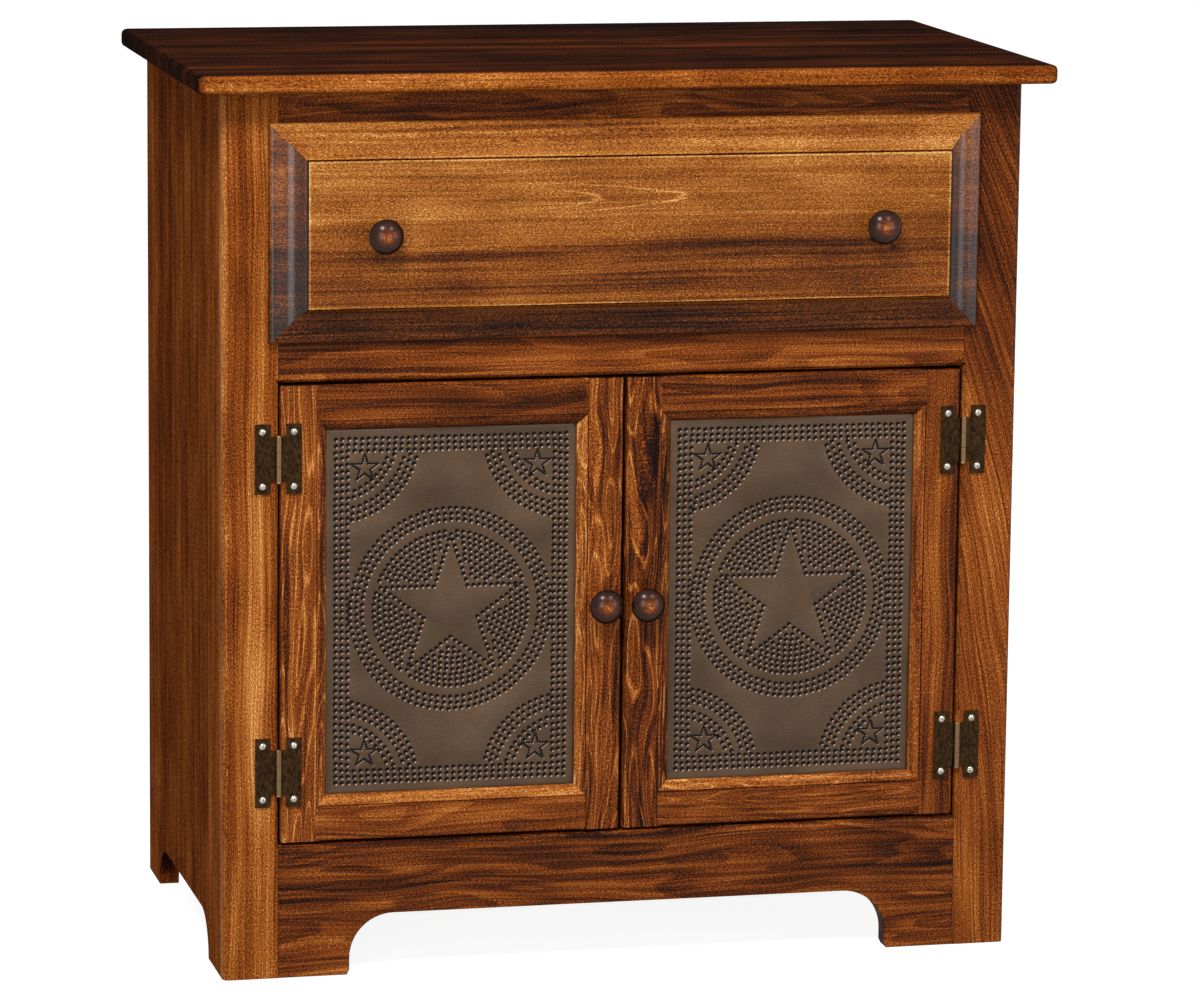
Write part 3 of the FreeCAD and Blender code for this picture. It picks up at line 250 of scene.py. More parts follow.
# Strengths that every board shares: pores as a share of the fibres, speckle and clouds.
PORE_SHARE = 0.6
SPECKLE = 0.10
CLOUDS = 0.03
# Where in its noise a mark begins to show, and where it has its whole strength.
MINERAL_RANGE = (0.52, 0.68)
VEIN_RANGE = (0.49, 0.60)
CURL_RANGE = (0.48, 0.66)
# Contour lines: how many over the whole range of their noise, and how wide.
RING_COUNT = 7.0
FLAME_COUNT, FLAME_WIDTH = 8.0, 0.16
CATHEDRAL_COUNT, CATHEDRAL_WIDTH = 1.7, 0.10
# How far the lines are shifted, as a share of the way from one to the next.
LINE_SHIFT = 0.4
# A growth ring's slow darkening and its sharp edge, as shares of the ring.
RING_DARKENING = (0.1, 0.9)
RING_EDGE = (1.0, 0.93)
# A cathedral: how ragged it is, where it begins at its tip, how far its lines are shifted
# further, and where it fades at its foot.
CATHEDRAL_RAGGED = 0.30
CATHEDRAL_TIP = (-0.12, -0.06)
CATHEDRAL_SHIFT = 0.07
CATHEDRAL_FADE = (1.1, 0.5)
# How much a face looks along the grain where end grain begins, and where it is whole.
END_GRAIN_RANGE = (0.04, 0.6)
# How open the corners are where their painted shade begins, and where it is darkest.
CREASE_RANGE = (0.9, 0.55)
CREASE_REACH = 4 * MM
CREASE_SAMPLES = 6
# How softly the mouldings of end grain begin, at their mitres and at the raised field.
MITRE_BLUR_MM, FIELD_BLUR_MM = 0.3, 0.2
# Relief: its height on the wood and on the lacquer, and the shares that grit and tone have.
BUMP_HEIGHT = 0.12 * MM
COAT_BUMP_HEIGHT = 0.4 * BUMP_HEIGHT
GRIT_RELIEF, TONE_RELIEF = 0.6, 0.4
# Where roughness follows the grit, and how much duller than its lacquer the wood is there.
GRIT_RANGE = (0.2, 0.8)
DULLER = (0.1, 0.25)


class Wood(Finish):
    """A board: coordinates along, across and through its grain, and its tone so far."""

    def __init__(self, name, grain, seed, wander, slant, boards):
        super().__init__(name)
        axes = GRAIN_AXES[grain]
        places = dict(zip("xyz", self.place()))
        facing = dict(zip("xyz", self.normal()))
        self.plain_along, self.plain_across, self.depth = (places[axis] for axis in axes)
        self.end_grain = self.step(self.math("ABSOLUTE", facing[axes[0]]), *END_GRAIN_RANGE)
        self.terms = []
        self.along = self.total(self.plain_along, seed * SEED_SHIFT_MM)
        if boards:
            board = self.profile(self.plain_across, boards, "CONSTANT")
            self.terms.append(self.centred(board))
            self.along = self.total(self.along, self.times(board, BOARD_SHIFT_MM))
        self.across = self.plain_across
        if slant:
            square = self.times(self.plain_along, self.plain_along)
            lean = self.times(square, 0.5 * slant / LEAN_LENGTH_MM)
            self.across = self.total(self.across, lean)
        sway = self.centred(self.grain_noise("sway"))
        self.across = self.total(self.across, self.times(sway, 2 * wander))

    def grain_noise(self, name):
        """One of the noises, stretched along the grain."""
        length, width, detail, roughness, shift = NOISES[name]
        shifted = self.total(self.across, shift)
        vector = self.scaled((self.along, length), (shifted, width), (self.depth, width))
        return self.noise(vector, detail, roughness)

    def centred(self, source):
        return self.math("SUBTRACT", source, 0.5)

    def vary(self, source, strength):
        """Add a noise to the tone, strength being about its typical swing."""
        if strength:
            self.terms.append(self.times(self.centred(source), strength / NOISE_SPREAD))

    def darken(self, mask, strength):
        """Take strength off the tone where the mask is 1; a negative strength lightens."""
        self.terms.append(self.times(self.times(mask, strength), -1.0))

    def lines(self, source, count, width):
        """1 on contour lines of the source, count of them from 0 to 1."""
        fraction = self.math("FRACT", self.total(self.times(source, count), LINE_SHIFT))
        gap = self.math("ABSOLUTE", self.centred(fraction))
        return self.step(gap, width, 0.0)

    def crease_shade(self):
        """1 in the inner corners of the piece's own mouldings, found by ambient occlusion: painted
        shade, standing also for stain that gathers there.
        """
        node = self.add("ShaderNodeAmbientOcclusion", samples=CREASE_SAMPLES, only_local=True)
        node.inputs["Distance"].default_value = CREASE_REACH
        return self.step(node.outputs["AO"], *CREASE_RANGE)

    def rings(self, source, count):
        """Growth rings on contours of the source: slowly darker, then a sharp edge."""
        fraction = self.math("FRACT", self.times(source, count))
        darkening = self.step(fraction, *RING_DARKENING)
        return self.math("MULTIPLY", darkening, self.step(fraction, *RING_EDGE))

    def accent(self, along, across, length, width, strength):
        """One darker patch, or a lighter one for a negative strength.

        Its middle lies along and across the board, and length and width are half its size.
        """
        run = self.math("DIVIDE", self.math("SUBTRACT", self.plain_along, along), length)
        side = self.math("DIVIDE", self.math("SUBTRACT", self.across, across), width)
        reach = self.total(self.times(run, run), self.times(side, side))
        self.darken(self.step(reach, 1.0, 0.0), strength)

    def cathedral(self, tip, middle, length, width, strength):
        """Pointed nested lines, as where growth rings break through a flat-sawn face."""
        run = self.math("DIVIDE", self.math("SUBTRACT", tip, self.plain_along), length)
        side = self.math("DIVIDE", self.math("SUBTRACT", self.across, middle), width)
        ragged = self.times(self.centred(self.grain_noise("ragged")), CATHEDRAL_RAGGED)
        rise = self.total(run, self.times(self.times(side, side), -1.0), ragged)
        begun = self.step(rise, *CATHEDRAL_TIP)
        inner = self.math("MULTIPLY", begun, self.step(run, *CATHEDRAL_FADE))
        line = self.lines(self.total(rise, CATHEDRAL_SHIFT), CATHEDRAL_COUNT, CATHEDRAL_WIDTH)
        self.darken(self.math("MULTIPLY", line, inner), strength)

    def tint(self, source, stops):
        """Tone that follows the source, where 0.5 leaves it as it is."""
        self.terms.append(self.centred(self.profile(source, stops)))

    def frame_of_moulding(self, half_along, half_across, middle, stops, end_stops):
        """Tone at distances in from the edges of a slab, whose two ends are cut end grain."""
        end = self.math("SUBTRACT", half_along, self.math("ABSOLUTE", self.plain_along))
        rise = self.math("ABSOLUTE", self.math("SUBTRACT", self.plain_across, middle))
        side = self.math("SUBTRACT", half_across, rise)
        # For the drawer front, these stops paint shade in the quirk and highlights on its lips.
        self.tint(self.math("MINIMUM", end, side), stops)
        mitred = self.step(self.math("SUBTRACT", side, end), -MITRE_BLUR_MM, MITRE_BLUR_MM)
        width = end_stops[-1][0]
        self.end_grain = self.math("MULTIPLY", mitred, self.step(end, width + FIELD_BLUR_MM, width))
        # Darker end grain; the drawer front's stops also paint highlights on it.
        self.darken(self.end_grain, self.profile(end, end_stops))

    def add_noises(self, streaks, fibres):
        self.vary(self.grain_noise("streaks"), streaks)
        self.vary(self.grain_noise("fibres"), fibres)
        self.vary(self.grain_noise("pores"), fibres * PORE_SHARE)
        self.vary(self.grain_noise("speckle"), SPECKLE)
        self.vary(self.grain_noise("clouds"), CLOUDS)

    def add_figure(self, mineral, veins, figure, flame, curl):
        if mineral:
            self.darken(self.step(self.grain_noise("mineral"), *MINERAL_RANGE), mineral)
        if veins:
            thin = self.step(self.grain_noise("veins"), *VEIN_RANGE)
            self.darken(thin, self.profile(self.plain_across, veins))
        if figure:
            self.darken(self.rings(self.grain_noise("figure"), RING_COUNT), figure)
        if flame:
            self.darken(self.lines(self.grain_noise("flame"), FLAME_COUNT, FLAME_WIDTH), -flame)
        if curl:
            self.darken(self.step(self.grain_noise("curl"), *CURL_RANGE), curl)

    def finished(self, palette, gloss, shine, end_tone, end_shine):
        tone = self.total(*self.terms)
        if end_shine:
            shine = self.total(self.times(self.end_grain, end_shine), shine)
        if end_tone:
            tone = self.math("SUBTRACT", tone, self.times(self.end_grain, end_tone))
        grit = self.grain_noise("grit")
        height = self.total(self.times(grit, GRIT_RELIEF), self.times(tone, TONE_RELIEF))
        roughness = [gloss + duller for duller in DULLER]
        return self.surface(
            Base_Color=self.shade(tone, palette),
            Roughness=self.step(grit, *GRIT_RANGE, *roughness),
            Specular_IOR_Level=0.0,
            Normal=self.bump(height, BUMP_HEIGHT),
            Coat_Weight=shine,
            Coat_Roughness=gloss,
            Coat_Normal=self.bump(height, COAT_BUMP_HEIGHT),
        )


def wood(
    name,
    grain,
    bands,
    seed,
    palette=STAIN,
    boards=(),
    accents=(),
    cathedrals=(),
    wander=12.0,
    slant=0.0,
    streaks=0.045,
    fibres=0.040,
    mineral=0.0,
    veins=(),
    figure=0.0,
    flame=0.0,
    curl=0.0,
    tints=(),
    slab=(),
    gloss=0.24,
    shine=0.12,
    end_tone=0.22,
    end_shine=0.0,
    crease_shade=0.0,
):
    """Stained and lacquered wood.

    bands gives the tone at places across the grain, in millimetres, and boards the tones
    of boards glued side by side. veins gives the strength of thin dark veins at places
    across the grain, tints a change of tone at exact places across it, which paints light
    and shade on mouldings and edges, and slab what frame_of_moulding takes. wander is how
    far the grain sways, in millimetres. The rest are strengths: long soft streaks, fine
    fibres, near-black mineral streaks, growth rings (figure), light flames, curl, dark end
    grain and its shine, and painted shade in inner corners.
    """
    board = Wood(name, grain, seed, wander, slant, boards)
    board.terms.append(board.profile(board.plain_across if slant else board.across, bands))
    board.add_noises(streaks, fibres)
    board.add_figure(mineral, veins, figure, flame, curl)
    # Painted shade in the inner corners of the mouldings.
    if crease_shade:
        board.darken(board.crease_shade(), crease_shade)
    if tints:
        board.tint(board.plain_across, tints)
    if slab:
        board.frame_of_moulding(*slab)
    for accent in accents:
        board.accent(*accent)
    for cathedral in cathedrals:
        board.cathedral(*cathedral)
    return board.finished(palette, gloss, shine, end_tone, end_shine)


def paint(material, *names):
    """Give CAD nodes a finish."""
    for name in names:
        mesh = nodes[name].data
        mesh.materials.clear()
        mesh.materials.append(material)


# The drawer front: half its length, half its height and the height of its middle.
DRAWER_SIZE_MM = (338.5, 101.5, 703.0)
# How its tone changes at distances in from its edge, where 0.5 is no change: painted shade
# in the quirk round the raised field, between painted highlights on its two lips.
DRAWER_EDGES = [
    (30.6, 0.5), (31.2, 0.62), (32.0, 0.56), (32.5, 0.10), (33.5, 0.10), (33.7, 0.78),
    (35.0, 0.70), (36.0, 0.5),
]
# How much darker its mouldings of end grain are, at distances in from its two ends: the end
# grain's own darkness, less near the outer edge, where a painted highlight line runs, and
# where the tongue meets the cove, a lighter painted band.
DRAWER_ENDS = [(0, 0.22), (1.6, 0.12), (3, 0.28), (8, 0.20), (12, 0.16), (17, 0.26), (33.5, 0.36)]
# Its streaks, knots and light patches, as Wood.accent takes them; the last, a light stripe
# along the upward-facing cove of the top moulding, is a painted highlight.
DRAWER_ACCENTS = [
    (110, 688, 270, 6.0, 0.15), (-170, 683, 130, 4.5, 0.14), (190, 678, 190, 3.0, 0.12),
    (-40, 756, 300, 4.0, 0.07), (250, 757, 140, 7.0, 0.12), (232, 690, 8, 4, 0.22),
    (250, 681, 6, 3, 0.22), (-110, 786, 5, 2.5, 0.22), (-60, 612, 320, 5, 0.14),
    (90, 662, 240, 3.0, 0.10), (-200, 652, 160, 3.0, 0.10), (-250, 725, 60, 30, 0.06),
    (-120, 797, 190, 3.5, 0.16), (130, 793, 240, 2.5, 0.12), (60, 782, 200, 4.0, -0.07),
]
# Its tone at heights from its bottom edge to its top edge.
DRAWER_BANDS = [
    (602, 0.42), (616, 0.35), (632, 0.47), (640, 0.53), (655, 0.47), (672, 0.50),
    (684, 0.44), (694, 0.57), (720, 0.64), (752, 0.65), (762, 0.68), (772, 0.64),
    (790, 0.64), (803, 0.58),
]
# The tone of the top board at places from its front to its back: light on its front edge,
# then far darker over the top surface and darkest towards the back, as painted shade.
TOP_BANDS = [
    (-230, 0.60), (-226, 0.50), (-221, 0.13), (-140, 0.19), (-20, 0.21), (120, 0.15),
    (250, 0.06),
]
# What the two sides have in common.
SIDE = dict(
    grain="side", bands=[(0, 0.48)], streaks=0.03, fibres=0.04, mineral=0.07, wander=6.0,
    shine=0.006,
)
# The boards of the outside, apart from the doors: each node, and what wood() takes for it.
BOARDS = {
    "drawer_front": dict(
        name="drawer_front_maple", grain="x", bands=DRAWER_BANDS, seed=1, palette=GOLDEN,
        accents=DRAWER_ACCENTS,
        cathedrals=[(46, 733, 140, 15, -0.26), (322, 731, 60, 8, -0.20)],
        veins=[(602, 0.16), (634, 0.16), (640, 0.10), (688, 0.12), (698, 0.0), (803, 0.0)],
        slab=(*DRAWER_SIZE_MM, DRAWER_EDGES, DRAWER_ENDS), wander=5.0, streaks=0.025,
        fibres=0.03, mineral=0.05, gloss=0.20, shine=0.16, end_tone=0.0, end_shine=0.48,
        crease_shade=0.3,
    ),
    "top_rail": dict(
        name="top_rail_maple", grain="x", bands=[(0, 0.48)], seed=2, mineral=0.14,
        figure=0.16, flame=0.10, accents=[(-150, 820, 240, 9, 0.10)],
        cathedrals=[(230, 815, 120, 16, -0.16)],
    ),
    "middle_rail": dict(
        name="middle_rail_maple", grain="x", bands=[(564, 0.52), (611, 0.48)], seed=3,
        mineral=0.18, figure=0.12,
    ),
    "bottom_apron": dict(
        name="apron_maple", grain="x",
        bands=[(0, 0.52), (60, 0.47), (84, 0.44), (98, 0.40), (110, 0.48), (127, 0.44)],
        seed=4, mineral=0.17, figure=0.16, fibres=0.05, wander=15.0,
    ),
    "left_stile": dict(
        name="left_stile_maple", grain="z",
        bands=[(-381, 0.56), (-362, 0.57), (-345, 0.64), (-329, 0.58)], seed=5,
        streaks=0.05, fibres=0.05, wander=7.0, shine=0.05, veins=[(0, 0.06)],
        accents=[(350, -355, 260, 26, -0.10)],
        # The rounded front corner is painted lighter: a painted highlight.
        tints=[(-381, 0.60), (-378, 0.60), (-376, 0.5)],
    ),
    "right_stile": dict(
        name="right_stile_maple", grain="z", bands=[(0, 0.56)], seed=6, slant=0.44,
        streaks=0.03, fibres=0.05,
        accents=[(790, 500, 330, 190, 0.20), (390, 399, 180, 40, -0.06)], veins=[(0, 0.12)],
        mineral=0.05, shine=0.10,
    ),
    "left_side": dict(
        name="left_side_maple", seed=7,
        boards=[(-181, 0.55), (-118, 0.46), (-20, 0.49), (92, 0.43), (170, 0.49)],
        **SIDE,
    ),
    "right_side": dict(
        name="right_side_maple", seed=8,
        boards=[(-181, 0.46), (-90, 0.52), (15, 0.45), (120, 0.50)],
        **SIDE,
    ),
    "top_board": dict(
        name="top_maple", grain="top", bands=TOP_BANDS, seed=9,
        boards=[(-230, 0.50), (-125, 0.46), (-10, 0.52), (95, 0.47), (180, 0.50)],
        streaks=0.05, fibres=0.04, mineral=0.10, wander=5.0, shine=0.01, end_tone=0.1,
    ),
}


def finish_boards():
    for node, look in BOARDS.items():
        paint(wood(**look), node)


# Beside a door's inner edge: how wide the moulding is, and then how the tone changes at
# distances from the edge, over painted shade in the quirk and a painted highlight on its lip.
MOULDING_WIDTH_MM = 9.0
QUIRK = [(9.5, -0.14), (10.1, -0.14), (10.5, 0.06), (12.0, 0.0)]
# For the pieces of both doors: the place of the inner edge across the piece, the way from
# there to the outside, and how much lighter the moulding is painted: painted light where it
# faces the lamps, painted shade where the number is negative and it faces away.
INNER_EDGES = {
    "left_door_hinge_stile": (-283, -1, -0.08),
    "left_door_meeting_stile": (-45, 1, 0.16),
    "right_door_meeting_stile": (45, -1, 0.08),
    "right_door_hinge_stile": (283, 1, 0.14),
    "bottom_rail": (173, -1, 0.18),
    "top_rail": (518, 1, -0.06),
}
# The tone of each board of the doors, and the marks that wood() gives it.
DOOR_LOOKS = {
    "left_door_hinge_stile": dict(tone=0.51, flame=0.28, mineral=0.30, wander=14.0),
    "left_door_meeting_stile": dict(tone=0.49, flame=0.25, curl=0.20, mineral=0.26, wander=20.0),
    "left_door_top_rail": dict(tone=0.42, mineral=0.08, figure=0.12),
    "left_door_bottom_rail": dict(tone=0.54, figure=0.12, mineral=0.08),
    "right_door_hinge_stile": dict(tone=0.46, streaks=0.08, mineral=0.20),
    "right_door_meeting_stile": dict(tone=0.42, flame=0.34, curl=0.26, mineral=0.36, wander=26.0),
    "right_door_top_rail": dict(tone=0.47, mineral=0.20, figure=0.12),
    "right_door_bottom_rail": dict(tone=0.48, flame=0.16, curl=0.18, mineral=0.20),
}


def painted_moulding(edge, way, painted_lift):
    """Painted light and shade of a moulding that starts at an edge, up to the quirk beside the
    flat.
    """
    steps = [(0.0, painted_lift), (MOULDING_WIDTH_MM, painted_lift), *QUIRK]
    return sorted((edge + way * place, 0.5 + tone) for place, tone in steps)


def finish_doors():
    for seed, (name, look) in enumerate(DOOR_LOOKS.items(), start=10):
        grain = "x" if name.endswith("rail") else "z"
        edge = next(place for part, place in INNER_EDGES.items() if name.endswith(part))
        marks = {key: strength for key, strength in look.items() if key != "tone"}
        bands = [(0, look["tone"])]
        # Each moulding is painted lighter or darker by the way it faces: painted light and shade.
        board = wood(name + "_maple", grain, bands, seed, crease_shade=0.2, tints=painted_moulding(*edge), **marks)
        paint(board, name)
    for side in ("left", "right"):
        name = f"{side}_door_panel_strips"
        paint(wood(name + "_maple", "z", [(0, 0.45)], seed=20, shine=0.2, gloss=0.4), name)


def finish_inside():
    dull = dict(shine=0.15, gloss=0.42)
    raw = dict(palette=RAW, **dull)
    ply = dict(wander=30.0, figure=0.07)
    inner = wood("inner_maple", "x", [(0, 0.46)], seed=21, mineral=0.08, **dull)
    paint(inner, "cabinet_floor", "shelf")
    box_wood = wood("drawer_box_wood", "x", [(0, 0.60)], seed=22, mineral=0.05, **raw)
    paint(box_wood, "drawer_box_front", "drawer_box_back", "drawer_stop_button")
    side_wood = wood("drawer_side_wood", "deep_side", [(0, 0.58)], seed=23, mineral=0.05, **raw)
    paint(side_wood, "drawer_left_side", "drawer_right_side")
    rail = wood("rail_poplar", "x", [(0, 0.45)], seed=24, mineral=0.08, **raw)
    paint(rail, "rear_top_rail")
    bearer = wood("bearer_poplar", "deep_side", [(0, 0.50)], seed=25, mineral=0.08, **raw)
    for side in ("left", "right"):
        paint(bearer, f"{side}_top_cleat", f"{side}_drawer_kicker", f"{side}_drawer_runner")
    paint(wood("back_plywood", "z", [(0, 0.50)], seed=26, **ply, **dull), "back_panel")
    paint(wood("bottom_plywood", "deep", [(0, 0.60)], seed=27, **ply, **raw), "drawer_bottom")


KNOB_RADIUS_MM = 16.0
# A knob's tone at its rim and on its crown, and how wide that crown is.
KNOB_TONES = (0.13, 0.44)
KNOB_CROWN_MM = 0.1 * KNOB_RADIUS_MM
# The strength of its rings of end grain, and of the orange fleck near its middle.
KNOB_RINGS = 0.5
KNOB_FLECK = 0.55
FLECK_REACH_MM = 0.42 * KNOB_RADIUS_MM
FLECK_RANGE = (0.46, 0.62)
KNOB_ROUGHNESS = (0.36, 0.46)


def finish_knob(name):
    """A turned knob: end grain on its crown, with an orange fleck in the middle."""
    low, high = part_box(name)
    middle = (low + high) / (2 * MM)
    finish = Finish(name + "_maple")
    x, y, z = finish.place()
    x = finish.math("SUBTRACT", x, middle.x)
    z = finish.math("SUBTRACT", z, middle.z)
    radius = finish.math("SQRT", finish.total(finish.times(x, x), finish.times(z, z)))
    shifted = finish.total(z, middle.x)
    rings = finish.noise(finish.scaled((x, 5.0), (y, 30.0), (shifted, 0.9)), 2.0, 0.6)
    skewed = finish.total(z, x)
    fleck = finish.noise(finish.scaled((x, 2.6), (middle.x, 1.0), (skewed, 1.2)))
    near_middle = finish.step(radius, FLECK_REACH_MM, 0.0)
    spot = finish.math("MULTIPLY", near_middle, finish.step(fleck, *FLECK_RANGE))
    tone = finish.total(
        finish.step(radius, KNOB_RADIUS_MM, KNOB_CROWN_MM, *KNOB_TONES),
        finish.times(finish.math("SUBTRACT", rings, 0.5), KNOB_RINGS),
        finish.times(spot, KNOB_FLECK),
    )
    material = finish.surface(
        Base_Color=finish.shade(tone, STAIN),
        Roughness=finish.step(rings, *GRIT_RANGE, *KNOB_ROUGHNESS),
        Specular_IOR_Level=0.0,
        Normal=finish.bump(rings, 0.06 * MM),
        Coat_Weight=0.35,
        Coat_Roughness=0.20,
    )
    paint(material, name)


def finish_wood():
    finish_boards()
    finish_doors()
    finish_inside()
    for name in ("drawer_left_knob", "drawer_right_knob", "left_door_knob", "right_door_knob"):
        finish_knob(name)


# ---------------------------------------------------------------------------------------
# Metal
# ---------------------------------------------------------------------------------------


DENT_LAYER = "dent"
# Where roughness follows patina or wear, and how much rougher than its gloss a metal is
# where its finish is whole and where it is worn.
WEAR_RANGE = (0.3, 0.7)
ROUGHER = (0.12, -0.06)
PATINA = [(0.25, (61, 47, 36)), (0.50, (83, 65, 50)), (0.75, (105, 83, 64))]
# The colours of a dent: dark patina, darkened further as painted shade, and a painted
# highlight on the flank that faces up and to the left.
DENT_SHADE = (12, 7, 6)
LIT_FLANK_HIGHLIGHT = (164, 134, 114)
# How strongly the tin is mottled, rolled and gritty, and the tone that these lie on.
TIN_MOTTLE, TIN_ROLLING, TIN_GRIT = 0.6, 0.3, 0.45
TIN_TONE = 0.2
# How deep a dent is, of its whole depth, where its colours begin, and where they are whole.
DENTED_RANGE = (0.02, 0.3)
# How the flank with the painted highlight faces across and up, and how much, where the
# highlight begins and where it is brightest.
LIT_FLANK_FACING = (-0.6, 0.8)
LIT_FLANK_RANGE = (0.28, 0.62)
TIN_ROUGHNESS = (0.36, 0.46)
# The sheen of the flat tin, and what the dents add to it.
TIN_COAT, DENT_COAT = 0.12, 0.04


def aged_tin():
    """Dark pewter-brown patina, darkest in the punches with painted shade, a painted highlight
    on each dent's flank that faces up and to the left, and a faint rolled grain.
    """
    finish = Finish("aged_tin")
    x, _, z = finish.place()
    facing_x, _, facing_z = finish.normal()
    mottle = finish.noise(finish.scaled((x, 90.0), (0.0, 1.0), (z, 60.0)))
    rolling = finish.noise(finish.scaled((x, 9.0), (0.0, 1.0), (z, 0.8)))
    grit = finish.noise(finish.scaled((x, 1.1), (0.0, 1.0), (z, 1.1)), 1.0)
    tone = finish.total(
        finish.times(mottle, TIN_MOTTLE),
        TIN_TONE,
        finish.times(finish.math("SUBTRACT", rolling, 0.5), TIN_ROLLING),
        finish.times(finish.math("SUBTRACT", grit, 0.5), TIN_GRIT),
    )
    dented = finish.add("ShaderNodeAttribute", attribute_name=DENT_LAYER).outputs["Fac"]
    punched = finish.step(dented, *DENTED_RANGE)
    # A painted highlight on the flank of each dent that faces up and to the left.
    across, up = LIT_FLANK_FACING
    slope = finish.total(finish.times(facing_z, up), finish.times(facing_x, across))
    lit_flank = finish.step(slope, *LIT_FLANK_RANGE)
    dent_shade_and_highlight = finish.mix(lit_flank, colour(*DENT_SHADE), colour(*LIT_FLANK_HIGHLIGHT))
    return finish.surface(
        Base_Color=finish.mix(punched, finish.shade(tone, PATINA), dent_shade_and_highlight),
        Metallic=0.3,
        Roughness=finish.step(tone, *WEAR_RANGE, *TIN_ROUGHNESS),
        Specular_IOR_Level=0.0,
        Normal=finish.bump(rolling, 0.03 * MM),
        Coat_Weight=finish.total(finish.times(punched, DENT_COAT), TIN_COAT),
        Coat_Roughness=0.2,
    )


HINGE_AXIS_MM = 329.0
BARREL_RADIUS_MM = 3.1


def worn_metal(name, dark, bright, metallic, gloss, grain_mm, specular=0.5, barrel=None):
    """Plated metal whose finish is worn to a brighter tone in spots, with a lighter colour on hinge
    barrels.
    """
    finish = Finish(name)
    x, y, z = finish.place()
    wear = finish.noise(finish.scaled((x, grain_mm), (y, grain_mm), (z, 2 * grain_mm)), 4.0, 0.65)
    base = finish.shade(wear, [(0.38, dark), (0.66, bright)])
    if barrel:
        offset = finish.math("SUBTRACT", finish.math("ABSOLUTE", x), HINGE_AXIS_MM)
        reach = finish.math("ABSOLUTE", offset)
        on_barrel = finish.step(reach, BARREL_RADIUS_MM, 0.4 * BARREL_RADIUS_MM)
        base = finish.mix(on_barrel, base, colour(*barrel))
    roughness = [gloss + rougher for rougher in ROUGHER]
    return finish.surface(
        Base_Color=base,
        Metallic=metallic,
        Roughness=finish.step(wear, *WEAR_RANGE, *roughness),
        Specular_IOR_Level=specular,
        Normal=finish.bump(wear, 0.08 * MM),
    )


# The metals and the catches' plastic, and the nodes that are made of each.
METALS = {
    "antique_bronze": dict(
        dark=(32, 22, 12), bright=(66, 46, 27), metallic=0.7, gloss=0.30, grain_mm=2.2,
        specular=0.0, barrel=(110, 86, 60),
    ),
    "nickel_plate": dict(
        dark=(120, 114, 104), bright=(196, 188, 174), metallic=0.95, gloss=0.18, grain_mm=1.5
    ),
    "pin_brass": dict(
        dark=(118, 94, 58), bright=(176, 146, 96), metallic=0.9, gloss=0.3, grain_mm=2.0
    ),
    "zinc_steel": dict(
        dark=(132, 130, 122), bright=(188, 186, 178), metallic=0.95, gloss=0.34, grain_mm=3.0
    ),
    "catch_plastic": dict(
        dark=(40, 26, 17), bright=(58, 40, 27), metallic=0.0, gloss=0.5, grain_mm=6.0
    ),
}
METAL_NODES = {
    "antique_bronze": [
        "left_frame_hinge_leaves",
        "right_frame_hinge_leaves",
        "left_door_hinge_leaves",
        "right_door_hinge_leaves",
    ],
    "nickel_plate": ["frame_hinge_screws", "left_door_hinge_screws", "right_door_hinge_screws"],
    "pin_brass": ["hinge_pins"],
    "zinc_steel": [
        "top_screws",
        "shelf_pins",
        "drawer_knob_screws",
        "drawer_front_screws",
        "drawer_stop_screw",
        "left_door_knob_screw",
        "right_door_knob_screw",
        "left_door_strike_plate",
        "right_door_strike_plate",
    ],
    "catch_plastic": ["door_catches"],
}


def finish_metal():
    for name, look in METALS.items():
        paint(worn_metal(name, **look), *METAL_NODES[name])


# ---------------------------------------------------------------------------------------
# Punched tin
# ---------------------------------------------------------------------------------------

# A punch leaves a dent of this radius, and its nose is a ball.
PUNCH_RADIUS = 2.5 * MM
BALL_RADIUS = 3.1 * MM
PUNCH_DEPTH = BALL_RADIUS - math.sqrt(BALL_RADIUS**2 - PUNCH_RADIUS**2)
# Between punches of a row, between rows, and both for the rows round the plain star.
PUNCH_PITCH = 6.3 * MM
ROW_PITCH = 5.6 * MM
DISC_PITCH = 0.92 * PUNCH_PITCH
DISC_ROW = 5.2 * MM
BORDER_WIDTH = 219 * MM
BORDER_HEIGHT = 326 * MM
BORDER_ROWS = 3
CORNER_RADII = (78 * MM, 72.4 * MM, 66.8 * MM, 57.2 * MM, 51.6 * MM)
RING_RADII = (95.5 * MM, 90.0 * MM, 84.5 * MM)
DISC_RADIUS = 73.5 * MM
STAR_RADIUS = 67.0 * MM
STAR_MARGIN = 3.6 * MM
SMALL_STAR_RADIUS = 13.2 * MM
SMALL_STAR_INSET = 27.6 * MM
SMALL_STAR_PITCH = 2.3 * MM
# The inner corners of a star, as a share of its radius.
STAR_WAIST = 0.382
STAR_PUNCH_RADIUS = 1.55 * MM
# Punches of the disc stay this share of a row away from those along the star's outline.
DISC_CLEARANCE = 0.82
HAND_SLIP = 0.35 * MM
# The way to each corner from the middle of a panel.
QUARTERS = ((-1, -1), (-1, 1), (1, -1), (1, 1))


def star(radius):
    """Corners of an upright five-pointed star about the origin."""
    corners = []
    for step in range(10):
        angle = math.pi / 2 + step * math.pi / 5
        reach = radius if step % 2 == 0 else radius * STAR_WAIST
        corners.append(Vector((reach * math.cos(angle), reach * math.sin(angle))))
    return corners


def inside(point, corners):
    """Whether a point lies inside a closed outline."""
    hit = False
    for first, second in zip(corners, corners[1:] + corners[:1]):
        if (first.y > point.y) != (second.y > point.y):
            share = (point.y - first.y) / (second.y - first.y)
            if point.x < first.x + share * (second.x - first.x):
                hit = not hit
    return hit


def along_outline(corners, pitch):
    """Points spaced along a closed outline, with one at every corner."""
    points = []
    for first, second in zip(corners, corners[1:] + corners[:1]):
        count = max(1, round((second - first).length / pitch))
        points += [first.lerp(second, step / count) for step in range(count)]
    return points


